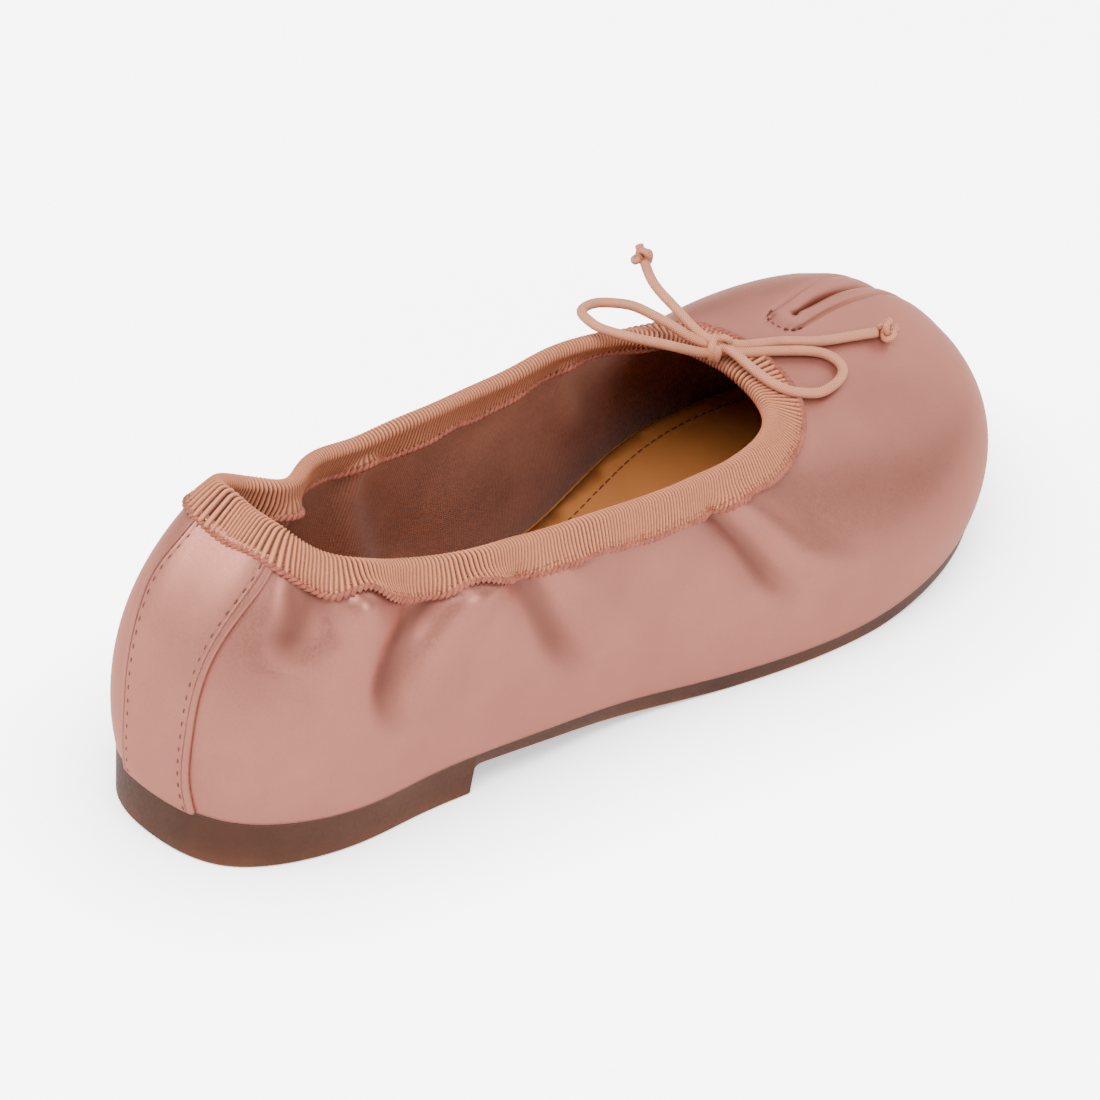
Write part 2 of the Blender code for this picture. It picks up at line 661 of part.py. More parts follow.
def add_knot(name, centre, radii):
    """Plain rounded solid of a tied knot."""
    bpy.ops.mesh.primitive_uv_sphere_add(segments=12, ring_count=8, radius=1.0)
    made = bpy.context.object
    made.name = name
    made.data.name = name
    made.location = to_world(*np.array(centre))
    made.scale = tuple(radius * MM for radius in radii)
    bpy.ops.object.transform_apply(location=False, rotation=False, scale=True)
    made.data.polygons.foreach_set("use_smooth", [True] * len(made.data.polygons))
    made.data.materials.append(material(CORD))
    return made


def clear_scene():
    """Remove everything that the scene holds."""
    for held in list(bpy.data.objects):
        bpy.data.objects.remove(held, do_unlink=True)


def main():
    """Build the shoe's pieces."""
    clear_scene()
    add_outsole()
    add_upper()
    add_insole()
    add_heel_strip()
    add_collar_tape()
    add_knot("bow_knot", KNOT_CENTRE, KNOT_RADII)
    for name, route in BOW_ROUTES.items():
        add_cord(name, route)
    for name, centre in TAIL_KNOT_CENTRES.items():
        add_knot(name, centre, (TAIL_KNOT_RADIUS,) * 3)


main()
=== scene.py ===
"""Dressing of a split-toe ballet flat for the right foot.

Shoe sizes are in millimetres: `along` runs from the heel to the toe, `across` is positive on the
outer side and heights are above the floor. The world has the toe towards -Y, the outer side
towards -X and +Z up, in metres. Lengths measured over the cloth are called `run` round the shoe
and `drop` below the collar.
"""
from __future__ import annotations

import logging
import math
from dataclasses import dataclass
from enum import Enum
from typing import Mapping, Sequence

import bpy
import numpy as np
from mathutils import Matrix, Vector
from mathutils.geometry import delaunay_2d_cdt

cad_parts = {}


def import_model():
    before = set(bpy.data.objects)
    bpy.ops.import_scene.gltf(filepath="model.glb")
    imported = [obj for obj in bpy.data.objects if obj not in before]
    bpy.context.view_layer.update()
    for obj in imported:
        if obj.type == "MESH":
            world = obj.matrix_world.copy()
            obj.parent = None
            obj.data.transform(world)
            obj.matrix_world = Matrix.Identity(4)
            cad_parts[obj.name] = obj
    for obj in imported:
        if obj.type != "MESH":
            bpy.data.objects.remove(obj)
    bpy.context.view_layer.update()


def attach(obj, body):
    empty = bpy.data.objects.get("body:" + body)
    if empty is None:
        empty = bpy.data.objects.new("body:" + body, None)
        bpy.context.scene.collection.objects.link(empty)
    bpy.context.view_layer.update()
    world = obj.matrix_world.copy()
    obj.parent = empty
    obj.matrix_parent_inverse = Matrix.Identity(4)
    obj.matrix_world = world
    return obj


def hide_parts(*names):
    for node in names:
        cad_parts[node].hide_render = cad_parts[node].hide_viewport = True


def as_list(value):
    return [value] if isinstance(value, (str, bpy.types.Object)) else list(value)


LOG = logging.getLogger("ballet_flat")
MM = 0.001
MID_ALONG, MID_ACROSS = 121.6, -0.6
PATH_SAMPLES = 600
CAP_BULGE = 0.5
UV_SCALE = 10
FLOAT, VECTOR = "NodeSocketFloat", "NodeSocketVector"
Array, Piece, Socket = np.ndarray, bpy.types.Object, bpy.types.NodeSocket


class Side(Enum):
    """Side of the shoe."""

    OUTER = 1
    INNER = -1


# ---------------------------------------------------------------------------------------------
# Shape of the shoe
# ---------------------------------------------------------------------------------------------


@dataclass(frozen=True)
class Rib:
    """One line up the shoe, from the feather line to the collar.

    It leaves the feather line at `flare` degrees for `stand` millimetres and reaches the collar
    at `tuck` degrees over `brow` millimetres.
    """

    name: str
    along: float
    across: float
    top_along: float
    top_across: float
    top: float
    flare: float
    stand: float
    tuck: float
    brow: float


RIBS = (
    Rib("back", 1.8, 0.0, 23.0, 0.0, 75.8, 13, 23, 46, 20.5),
    Rib("corner", 7.6, 18.2, 23.0, 10.5, 76.0, 12, 24, 40, 16),
    Rib("heel", 26.2, 27.8, 29.0, 17.3, 71.8, 12, 24, 23, 13),
    Rib("quarter", 54.0, 29.7, 55.0, 24.6, 64.2, 11, 21, 20, 15),
    Rib("waist", 87.5, 31.8, 92.0, 27.8, 60.0, 11, 18, 19, 15),
    Rib("arch", 118.0, 32.2, 129.0, 27.6, 55.8, 12, 18, 24, 16),
    Rib("joint", 150.0, 37.3, 151.0, 23.6, 53.9, 16, 19, 39, 16),
    Rib("vamp", 181.7, 39.3, 162.5, 17.2, 52.4, 18, 21, 60, 23),
    Rib("toe_side", 209.5, 34.2, 167.8, 11.0, 51.8, 17, 26, 78, 33),
    Rib("little_toes", 231.0, 21.6, 170.0, 5.0, 51.9, 14, 29, 91, 41),
    Rib("second_toe", 242.5, 2.5, 170.8, -0.2, 52.3, 13, 30, 98, 46),
    Rib("split", 243.5, -14.8, 170.3, -5.6, 53.0, 12, 31, 101, 48),
    Rib("big_toe", 240.8, -26.9, 168.8, -10.0, 53.8, 13, 29, 97, 45),
    Rib("big_toe_side", 225.8, -36.2, 166.0, -14.6, 55.0, 15, 27, 86, 37),
    Rib("vamp_inner", 196.0, -39.6, 159.5, -19.4, 56.8, 18, 21, 65, 25),
    Rib("joint_inner", 160.0, -33.9, 147.0, -23.3, 58.6, 17, 19, 42, 18),
    Rib("arch_inner", 124.0, -25.9, 123.0, -23.8, 58.8, 12, 18, 25, 16),
    Rib("waist_inner", 88.0, -25.3, 89.0, -23.2, 60.2, 11, 18, 20, 15),
    Rib("quarter_inner", 54.0, -28.4, 54.0, -19.2, 62.4, 11, 22, 22, 15),
    Rib("heel_inner", 25.8, -27.7, 30.5, -13.6, 72.2, 12, 26, 28, 15),
    Rib("corner_inner", 7.0, -17.9, 24.0, -10.8, 75.8, 14, 27, 48, 19.5),
)

# Height of the feather line, where the upper meets the sole: along, height.
FEATHER_LINE = (
    (-6.0, 13.9), (8.0, 12.8), (26.0, 11.5), (54.0, 11.2), (88.0, 10.6), (104.0, 8.7),
    (120.0, 6.5), (136.0, 5.2), (152.0, 4.8), (184.0, 5.0), (200.0, 6.2), (216.0, 8.1),
    (232.0, 11.1), (250.0, 14.3),
)


class Spline:
    """Natural cubic spline through columns of values."""

    def __init__(self, knots: Sequence[float], values: Sequence) -> None:
        """Find the spline's slopes.

        Args:
            knots: Where the values stand, in rising order.
            values: One value or one row of values for each knot.
        """
        self.knots = np.asarray(knots, float)
        self.values = np.asarray(values, float)
        gaps = np.diff(self.knots)
        count = len(self.knots)
        matrix, right = np.zeros((count, count)), np.zeros(self.values.shape)
        rises = (np.diff(self.values, axis=0).T / gaps ** 2).T
        for i in range(1, count - 1):
            matrix[i, i - 1:i + 2] = 1 / gaps[i - 1], 2 / gaps[i - 1] + 2 / gaps[i], 1 / gaps[i]
            right[i] = 3 * (rises[i - 1] + rises[i])
        matrix[0, :2] = 2 / gaps[0], 1 / gaps[0]
        matrix[-1, -2:] = 1 / gaps[-1], 2 / gaps[-1]
        right[0], right[-1] = 3 * rises[0], 3 * rises[-1]
        self.slopes = np.linalg.solve(matrix, right)

    def __call__(self, at: Array) -> Array:
        """Values of the spline.

        Args:
            at: Places along the knots, of any shape.

        Returns:
            The values, with the shape of `at` followed by that of one value.
        """
        at = np.asarray(at, float)
        cell = np.clip(np.searchsorted(self.knots, at, side="right") - 1, 0, len(self.knots) - 2)
        gap = self.knots[cell + 1] - self.knots[cell]
        t = (at - self.knots[cell]) / gap
        if self.values.ndim > 1:
            gap, t = gap[..., None], t[..., None]
        low, high = self.values[cell], self.values[cell + 1]
        return ((1 + 2 * t) * (1 - t) ** 2 * low + t * (1 - t) ** 2 * gap * self.slopes[cell]
                + t * t * (3 - 2 * t) * high + t * t * (t - 1) * gap * self.slopes[cell + 1])


FEATHER = Spline([row[0] for row in FEATHER_LINE], [row[1] for row in FEATHER_LINE])


def smooth(share: Array) -> Array:
    """Soft step from 0 to 1."""
    share = np.clip(share, 0, 1)
    return share * share * (3 - 2 * share)


def bell(distance: Array, width: float) -> Array:
    """Soft bump of height 1."""
    return np.exp(-(distance / width) ** 2)


def run_along(places: Array) -> Array:
    """Distance from the start of a line at each of its places."""
    return np.append(0.0, np.cumsum(np.linalg.norm(np.diff(places, axis=0), axis=1)))


def smooth_path(points: Sequence, step: float) -> Array:
    """Evenly spaced places on a smooth curve.

    Args:
        points: Places that the curve goes through.
        step: Spacing in millimetres.

    Returns:
        Places along the curve, both ends among them.
    """
    points = np.array(points, float)
    knots = run_along(points)
    path = Spline(knots, points)(np.linspace(0, knots[-1], PATH_SAMPLES))
    run = run_along(path)
    at = np.linspace(0, run[-1], max(int(math.ceil(run[-1] / step)), 3) + 1)
    return np.column_stack([np.interp(at, run, path[:, i]) for i in range(3)])


class Last:
    """The surface that the upper is drawn over, as ribs between the feather line and the collar."""

    FOOT_SHARE = 0.6
    NEAR = 0.05

    def __init__(self, ribs: Sequence[Rib]) -> None:
        """Set the ribs out round the shoe.

        Args:
            ribs: The ribs in order, from the back seam along the outer side.
        """
        rows = np.array([list(vars(rib).values())[1:] for rib in ribs], float)
        tiled = np.vstack([rows, rows, rows, rows[:1]])
        foot = np.linalg.norm(np.diff(tiled[:, 0:2], axis=0), axis=1)
        top = np.linalg.norm(np.diff(tiled[:, 2:4], axis=0), axis=1)
        knots = np.append(0.0, np.cumsum(self.FOOT_SHARE * foot + (1 - self.FOOT_SHARE) * top))
        self.length = knots[len(rows)]
        self.spline = Spline(knots - self.length, tiled)
        self.spot = {rib.name: knots[i] for i, rib in enumerate(ribs)}

    def rib(self, u: Array) -> Array:
        """Rib sizes at places u round the shoe."""
        return self.spline(np.mod(u, self.length))

    def outward(self, u: Array, first: int) -> tuple[Array, Array]:
        """Outward direction in plan.

        Args:
            u: Places round the shoe.
            first: 0 for the feather line, 2 for the collar.

        Returns:
            The direction's parts along and across.
        """
        turn = self.rib(u + self.NEAR) - self.rib(u - self.NEAR)
        along, across = turn[..., first], turn[..., first + 1]
        size = np.hypot(along, across) + 1e-9
        return -across / size, along / size

    def point(self, u: Array, v: Array) -> Array:
        """Places on the surface.

        Args:
            u: Places round the shoe, of shape (n, 1).
            v: Places up the shoe, of shape (1, m), from 0 at the feather line to 1 at the collar.

        Returns:
            Places of shape (n, m, 3).
        """
        along, across, top_along, top_across, top, flare, stand, tuck, brow = np.moveaxis(
            self.rib(u), -1, 0)
        foot_out, top_out = self.outward(u, 0), self.outward(u, 2)
        flare, tuck = np.radians(flare), np.radians(tuck)
        low = FEATHER(along)
        ends = (
            (along, across, low),
            (along + stand * np.sin(flare) * foot_out[0],
             across + stand * np.sin(flare) * foot_out[1], low + stand * np.cos(flare)),
            (top_along + brow * np.sin(tuck) * top_out[0],
             top_across + brow * np.sin(tuck) * top_out[1], top - brow * np.cos(tuck)),
            (top_along, top_across, top),
        )
        weights = ((1 - v) ** 3, 3 * v * (1 - v) ** 2, 3 * v * v * (1 - v), v ** 3)
        return np.stack([sum(w * end[i] for w, end in zip(weights, ends)) for i in range(3)], -1)


@dataclass(frozen=True)
class Gather:
    """A place where the elastic collar pulls the upper in, out, up or down."""

    along: float
    side: Side
    out: float
    lift: float
    span: float
    below: float
    reach: float


@dataclass(frozen=True)
class Crease:
    """A soft trough down the cloth from the collar, with a ridge towards the heel and the toe.

    `path` gives places along the shoe and heights, from the top down.
    """

    side: Side
    path: tuple
    depth: float
    width: float
    heel_ridge: float
    toe_ridge: float
    fade: float = 10.0
    spread: float = 0.9


@dataclass(frozen=True)
class Stretch:
    """A length of the collar tape that is stretched, so that its ribs stand apart.

    `run` is the length along the collar from the back seam along the outer side.
    """

    run: float
    span: float
    size: float
    narrower: float = 0.0


STRETCHES = (
    Stretch(8.5, 6.5, 0.95, 1.3), Stretch(18.0, 4.0, 0.0, -0.7), Stretch(28.5, 5.5, 0.9, 2.3),
    Stretch(57.0, 8.0, 0.95, 2.2), Stretch(90.0, 8.0, 0.6, 1.0), Stretch(115.0, 8.0, 0.25),
    Stretch(141.0, 9.0, 0.35), Stretch(169.0, 6.0, 0.5), Stretch(179.5, 4.0, 0.95),
    Stretch(203.0, 7.0, 0.8), Stretch(241.0, 9.0, 0.3), Stretch(280.0, 10.0, 0.5),
    Stretch(327.0, 6.0, 1.1), Stretch(352.0, 3.2, 1.9, -0.3),
)

GATHERS = (
    Gather(30.0, Side.INNER, 1.4, 0.8, 9.0, 0.0, 14.0),
    Gather(47.0, Side.INNER, -4.2, -0.8, 8.5, 7.0, 9.0),
    Gather(63.0, Side.INNER, 1.8, 0.6, 9.0, 0.0, 12.0),
    Gather(25.0, Side.OUTER, -1.8, -1.2, 5.0, 7.0, 7.0),
    Gather(35.0, Side.OUTER, 3.4, 2.4, 6.0, 9.0, 7.0),
    Gather(47.0, Side.OUTER, -1.6, -1.6, 4.8, 6.5, 8.0),
    Gather(61.0, Side.OUTER, 1.9, 1.4, 8.0, 8.5, 7.5),
    Gather(75.0, Side.OUTER, -1.2, -0.8, 5.5, 7.0, 8.0),
    Gather(93.0, Side.OUTER, 1.1, 0.7, 10.0, 8.0, 9.0),
    Gather(131.0, Side.OUTER, -1.0, -0.4, 7.0, 7.0, 9.0),
    Gather(96.0, Side.INNER, -1.2, 0.0, 12.0, 6.0, 10.0),
    Gather(134.0, Side.INNER, 1.0, 0.6, 11.0, 3.0, 10.0),
)

CREASES = (
    Crease(Side.OUTER, ((26.5, 66.0), (24.0, 62.2), (20.6, 58.5), (18.2, 55.0), (17.2, 51.5)),
           2.2, 5.6, 0.0, 1.2, 9.0, 0.0),
    Crease(Side.OUTER, ((52.5, 57.5), (49.6, 54.0), (45.5, 50.5), (42.3, 46.0), (40.5, 41.3),
                        (40.1, 35.8), (41.6, 31.2)), 2.6, 4.4, 1.0, 2.1, 16.0, 0.1),
    Crease(Side.OUTER, ((76.6, 56.0), (80.0, 48.7), (83.1, 41.8), (88.2, 32.0), (92.7, 25.3)),
           2.0, 3.6, 1.0, 1.5, 18.0),
    Crease(Side.OUTER, ((132.0, 51.0), (136.0, 45.5), (141.9, 38.0), (147.4, 30.2), (152.7, 23.6)),
           1.9, 2.6, 0.5, 1.9, 16.0),
    Crease(Side.INNER, ((77.0, 58.0), (76.0, 44.0), (80.0, 28.0), (84.0, 16.0)),
           2.6, 2.8, 1.2, 1.2),
    Crease(Side.INNER, ((48.0, 60.0), (45.0, 50.0), (42.0, 38.0)), 2.6, 3.2, 1.2, 1.2, 14.0),
    Crease(Side.INNER, ((140.0, 53.0), (146.0, 38.0), (156.0, 24.0)), 1.6, 3.2, 0.7, 0.7, 16.0),
)


class Drape:
    """The outside of the upper: the last with the collar's gathers and the cloth's creases."""

    AROUND = 1500
    UP = 240
    TAPE_CLEAR = (2.5, 6.5)
    DEEP = 3.0
    RIDGE_AWAY, RIDGE_WIDTH = 2.5, 1.8
    END_SHARE = 0.35

    def __init__(self, last: Last, gathers: Sequence[Gather], creases: Sequence[Crease]) -> None:
        """Work the surface out on a close grid.

        Args:
            last: The surface underneath.
            gathers: Pulls of the elastic collar.
            creases: Troughs placed over the cloth.
        """
        self.last = last
        self.u = np.linspace(0, last.length, self.AROUND + 1)
        self.v = np.linspace(0, 1, self.UP + 1)
        self.grid = last.point(self.u[:, None], self.v[None, :])
        self.measure()
        shift = np.zeros_like(self.grid)
        for gather in gathers:
            shift += self.pulled(gather)
        self.grid = self.grid + shift
        self.measure()
        rise = self.creased(creases)
        # Share of each crease's full depth: the mask of the painted shade in the satin's colour.
        self.hollow = np.clip(-rise / self.DEEP, 0, 1)
        self.grid = self.grid + self.normals * rise[..., None]
        self.measure()

    def measure(self) -> None:
        """Find the normals, the run along the collar, the drop below it and the pace."""
        ring = self.grid[:-1]
        around = np.roll(ring, -1, 0) - np.roll(ring, 1, 0)
        up = np.gradient(ring, axis=1)
        normals = -np.cross(around, up)
        normals /= np.linalg.norm(normals, axis=-1, keepdims=True)
        self.normals = np.vstack([normals, normals[:1]])
        self.pace = np.linalg.norm(around, axis=-1) / (2 * (self.u[1] - self.u[0]))
        self.pace = np.vstack([self.pace, self.pace[:1]])
        steps = np.linalg.norm(np.diff(self.grid, axis=1), axis=-1)
        self.drop = np.hstack([np.cumsum(steps[:, ::-1], 1)[:, ::-1], np.zeros((len(steps), 1))])
        self.run = run_along(self.grid[:, -1])

    def spot(self, along: float, side: Side) -> float:
        """Place round the shoe whose collar stands at a station along the shoe."""
        split = self.last.spot["split"]
        near = (self.u < split) if side is Side.OUTER else (self.u > split)
        return float(self.u[near][np.argmin(np.abs(self.grid[near, -1, 0] - along))])

    def pulled(self, gather: Gather) -> Array:
        """Shift of the whole grid by one gather."""
        run = np.interp(self.spot(gather.along, gather.side), self.u, self.run)
        around = bell(self.run - run, gather.span)[:, None]
        down = bell(self.drop - gather.below, gather.reach)
        out = np.stack(self.last.outward(self.u, 2), -1)
        pull = np.column_stack([gather.out * out, np.full(len(out), gather.lift)])
        return (around * down)[..., None] * pull[:, None]

    def creased(self, creases: Sequence[Crease]) -> Array:
        """Rise of the grid along its normals by all creases."""
        rise = np.zeros(self.grid.shape[:2])
        split = self.last.spot["split"]
        for crease in creases:
            hand = crease.side.value
            near = np.nonzero((self.u < split) if hand > 0 else (self.u > split))[0]
            rows, ups = [], []
            for along, height in crease.path:
                gap = np.hypot(self.grid[near, :, 0] - along, self.grid[near, :, 2] - height)
                i, k = np.unravel_index(np.argmin(gap), gap.shape)
                rows.append(self.u[near[i]])
                ups.append(self.v[k])
            line = Spline(ups[::-1], rows[::-1])(np.clip(self.v, ups[-1], ups[0]))
            past = np.interp(line, self.u, np.arange(len(self.u))).astype(int)
            depth_below = self.drop[past, np.arange(len(self.v))]
            first, last = np.interp((ups[0], ups[-1]), self.v, depth_below)
            at = np.clip((depth_below - first) / (last - first), 0, 1)
            turn = self.last.length
            off = np.mod(self.u[:, None] - line[None] + turn / 2, turn) - turn / 2
            aside = hand * off * self.pace / (crease.width * (1 + crease.spread * at))
            fade = smooth((last + self.END_SHARE * crease.fade - depth_below) / crease.fade)
            fade = fade * smooth((self.drop - self.TAPE_CLEAR[0]) / self.TAPE_CLEAR[1])
            rise += fade * (
                -crease.depth * bell(aside, 1.0)
                + crease.heel_ridge * bell(aside + self.RIDGE_AWAY, self.RIDGE_WIDTH)
                + crease.toe_ridge * bell(aside - self.RIDGE_AWAY, self.RIDGE_WIDTH))
        return rise

    def look(self, table: Array, u: Array, v: Array) -> Array:
        """Values of one of the drape's grids between its places.

        Args:
            table: A grid over places round and up the shoe.
            u: Places round the shoe.
            v: Places up the shoe, of the same shape.

        Returns:
            The values, smoothly read between the grid's places.
        """
        u, v = np.broadcast_arrays(u, v)
        i = np.mod(u, self.last.length) / self.u[1]
        k = np.clip(v, 0, 1) * self.UP
        i0 = np.clip(i.astype(int), 0, self.AROUND - 1)
        k0 = np.clip(k.astype(int), 0, self.UP - 1)
        a, b = i - i0, k - k0
        if table.ndim > 2:
            a, b = a[..., None], b[..., None]
        return ((1 - a) * (1 - b) * table[i0, k0] + a * (1 - b) * table[i0 + 1, k0]
                + (1 - a) * b * table[i0, k0 + 1] + a * b * table[i0 + 1, k0 + 1])

    def place(self, u: Array, v: Array, rise: Array | float = 0.0) -> Array:
        """Places over the surface, raised from it by some millimetres."""
        normals = self.look(self.normals, u, v)
        return self.look(self.grid, u, v) + normals * np.asarray(rise, float)[..., None]

    def line(self, u: Array, v: Array, rise: Array | float, hand: int = 1) -> tuple[Array, Array]:
        """Places over the surface, with the directions out of it, or into it for a hand of -1."""
        return self.place(u, v, rise), hand * self.look(self.normals, u, v)

    def at_drop(self, u: Array, drops: Array) -> Array:
        """Values of v at distances below the collar.

        Args:
            u: Places round the shoe, of shape (n,).
            drops: Distances in millimetres, of shape (m,) or (n, m).

        Returns:
            Values of v, of shape (n, m).
        """
        i = np.mod(u, self.last.length) / self.u[1]
        i0 = np.clip(i.astype(int), 0, self.AROUND - 1)
        share = (i - i0)[:, None]
        columns = (1 - share) * self.drop[i0] + share * self.drop[i0 + 1]
        drops = np.broadcast_to(drops, (len(u), np.shape(drops)[-1]))
        return np.array([np.interp(d, c[::-1], self.v[::-1]) for d, c in zip(drops, columns)])

    def at_run(self, run: Array) -> Array:
        """Places round the shoe at a run along the collar."""
        return np.interp(run, self.run, self.u)


# ---------------------------------------------------------------------------------------------
# Meshes
# ---------------------------------------------------------------------------------------------


def to_world(places: Array) -> Array:
    """World places in metres of places on the shoe in millimetres."""
    places = np.asarray(places, float)
    return np.stack([(MID_ACROSS - places[..., 1]) * MM, (MID_ALONG - places[..., 0]) * MM,
                     places[..., 2] * MM], -1)


def grid_faces(columns: int, rows: int, around: bool, up: bool) -> Array:
    """Quads over a grid of places, numbered column by column.

    Args:
        columns: Number of columns.
        rows: Number of places in a column.
        around: Whether the last column joins the first.
        up: Whether the last place of a column joins its first.

    Returns:
        Corner numbers, one row for each quad.
    """
    i = np.arange(columns if around else columns - 1)[:, None]
    k = np.arange(rows if up else rows - 1)[None, :]
    j, m = (i + 1) % columns, (k + 1) % rows
    i, j, k, m = np.broadcast_arrays(i, j, k, m)
    return np.stack([i * rows + k, j * rows + k, j * rows + m, i * rows + m], -1).reshape(-1, 4)


def new_object(name: str, data: bpy.types.ID) -> Piece:
    """An object at the origin, linked to the scene."""
    made = bpy.data.objects.new(name, data)
    bpy.context.scene.collection.objects.link(made)
    return made


def keep_values(mesh: bpy.types.Mesh, name: str, values: Array) -> None:
    """Keep one value for each place of a mesh under a name."""
    mesh.attributes.new(name, "FLOAT", "POINT").data.foreach_set(
        "value", np.ravel(values).astype(np.float32))


def add_piece(name: str, places: Array, faces: Sequence, uv: Array | None = None,
              finishes: Sequence[Finish] = (), slots: Array | None = None) -> Piece:
    """Make a smooth mesh object.

    Args:
        name: The piece's name.
        places: Places in shoe millimetres.
        faces: Corner numbers of the faces.
        uv: One pair in millimetres for each corner of each face.
        finishes: Finishes of the material slots.
        slots: Material slot of each face.

    Returns:
        The object, linked to the scene.
    """
    mesh = bpy.data.meshes.new(name)
    mesh.from_pydata(to_world(places).tolist(), [], [tuple(int(k) for k in f) for f in faces])
    if uv is not None:
        layer = mesh.uv_layers.new(name="cloth")
        layer.data.foreach_set("uv", (np.asarray(uv, np.float32) * MM * UV_SCALE).ravel())
    if slots is not None:
        mesh.polygons.foreach_set("material_index", np.asarray(slots, np.int32))
    mesh.polygons.foreach_set("use_smooth", [True] * len(mesh.polygons))
    for finish in finishes:
        mesh.materials.append(finish.build())
    return new_object(name, mesh)


def grid_uv(columns: int, rows: int, u: Array, v: Array, around: bool, up: bool) -> Array:
    """Corner pairs for grid_faces, from the run of each column edge and row edge.

    Args:
        columns: Number of columns.
        rows: Number of places in a column.
        u: Run at each column, one more than there are columns where the grid closes.
        v: Height at each place of a column, one more than there are where it closes.
        around: Whether the last column joins the first.
        up: Whether the last place of a column joins its first.

    Returns:
        Pairs in the order of the faces' corners.
    """
    i = np.arange(columns if around else columns - 1)[:, None]
    k = np.arange(rows if up else rows - 1)[None, :]
    i, k = np.broadcast_arrays(i, k)
    corners = ((i, k), (i + 1, k), (i + 1, k + 1), (i, k + 1))
    return np.stack([np.stack([u[a], v[b]], -1) for a, b in corners], 2).reshape(-1, 2)


def closed_climb(section: Array, every: int) -> Array:
    """Distance up a closed section at each of its places, and back at the first.

    Args:
        section: Places of shape (columns, places, 3).
        every: Spacing of the columns that the mean is taken over.

    Returns:
        Distances, one more than there are places.
    """
    columns = section[::every]
    steps = np.linalg.norm(np.roll(columns, -1, 1) - columns, axis=-1).mean(0)
    return np.append(0.0, np.cumsum(steps))


def tube(path: Array, radius: Array | float, sides: int) -> tuple:
    """Round tube along a path, closed at both ends.

    Args:
        path: Places along the middle line.
        radius: Radius at each place, or one for all.
        sides: Number of sides.

    Returns:
        Places, faces and corner pairs.
    """
    count = len(path)
    tangents = np.gradient(path, axis=0)
    tangents /= np.linalg.norm(tangents, axis=1, keepdims=True)
    hand = np.cross(tangents[0], [0.0, 0.0, 1.0])
    if np.linalg.norm(hand) < 0.1:
        hand = np.cross(tangents[0], [1.0, 0.0, 0.0])
    frames = []
    for tangent in tangents:
        hand = hand - tangent * hand.dot(tangent)
        hand /= np.linalg.norm(hand)
        frames.append((hand, np.cross(tangent, hand)))
    frames = np.array(frames)
    run = run_along(path)
    angle = np.linspace(0, 2 * math.pi, sides, endpoint=False)
    radius = np.broadcast_to(radius, (count,))
    ring = (np.cos(angle)[None, :, None] * frames[:, None, 0]
            + np.sin(angle)[None, :, None] * frames[:, None, 1])
    places = path[:, None] + ring * radius[:, None, None]
    faces = [tuple(f) for f in grid_faces(count, sides, False, True)]
    girth = np.arange(sides + 1) * 2 * math.pi * float(radius.mean()) / sides
    uv = [tuple(p) for p in grid_uv(count, sides, run, girth, False, True)]
    places = np.vstack([places.reshape(-1, 3), path[:1] - tangents[:1] * radius[0] * CAP_BULGE,
                        path[-1:] + tangents[-1:] * radius[-1] * CAP_BULGE])
    first, last = count * sides, count * sides + 1
    for k in range(sides):
        m = (k + 1) % sides
        faces.append((first, k, m))
        faces.append((last, (count - 1) * sides + m, (count - 1) * sides + k))
        uv += [(0.0, girth[k])] * 3 + [(run[-1], girth[k])] * 3
    return places, faces, uv


def joined(parts: Sequence[tuple]) -> tuple:
    """Several sets of places, faces and corner pairs as one."""
    places, faces, uv, first = [], [], [], 0
    for part_places, part_faces, part_uv in parts:
        places.append(part_places)
        faces += [tuple(k + first for k in face) for face in part_faces]
        uv += list(part_uv)
        first += len(part_places)
    return np.vstack(places), faces, uv


# ---------------------------------------------------------------------------------------------
# Finishes
# ---------------------------------------------------------------------------------------------


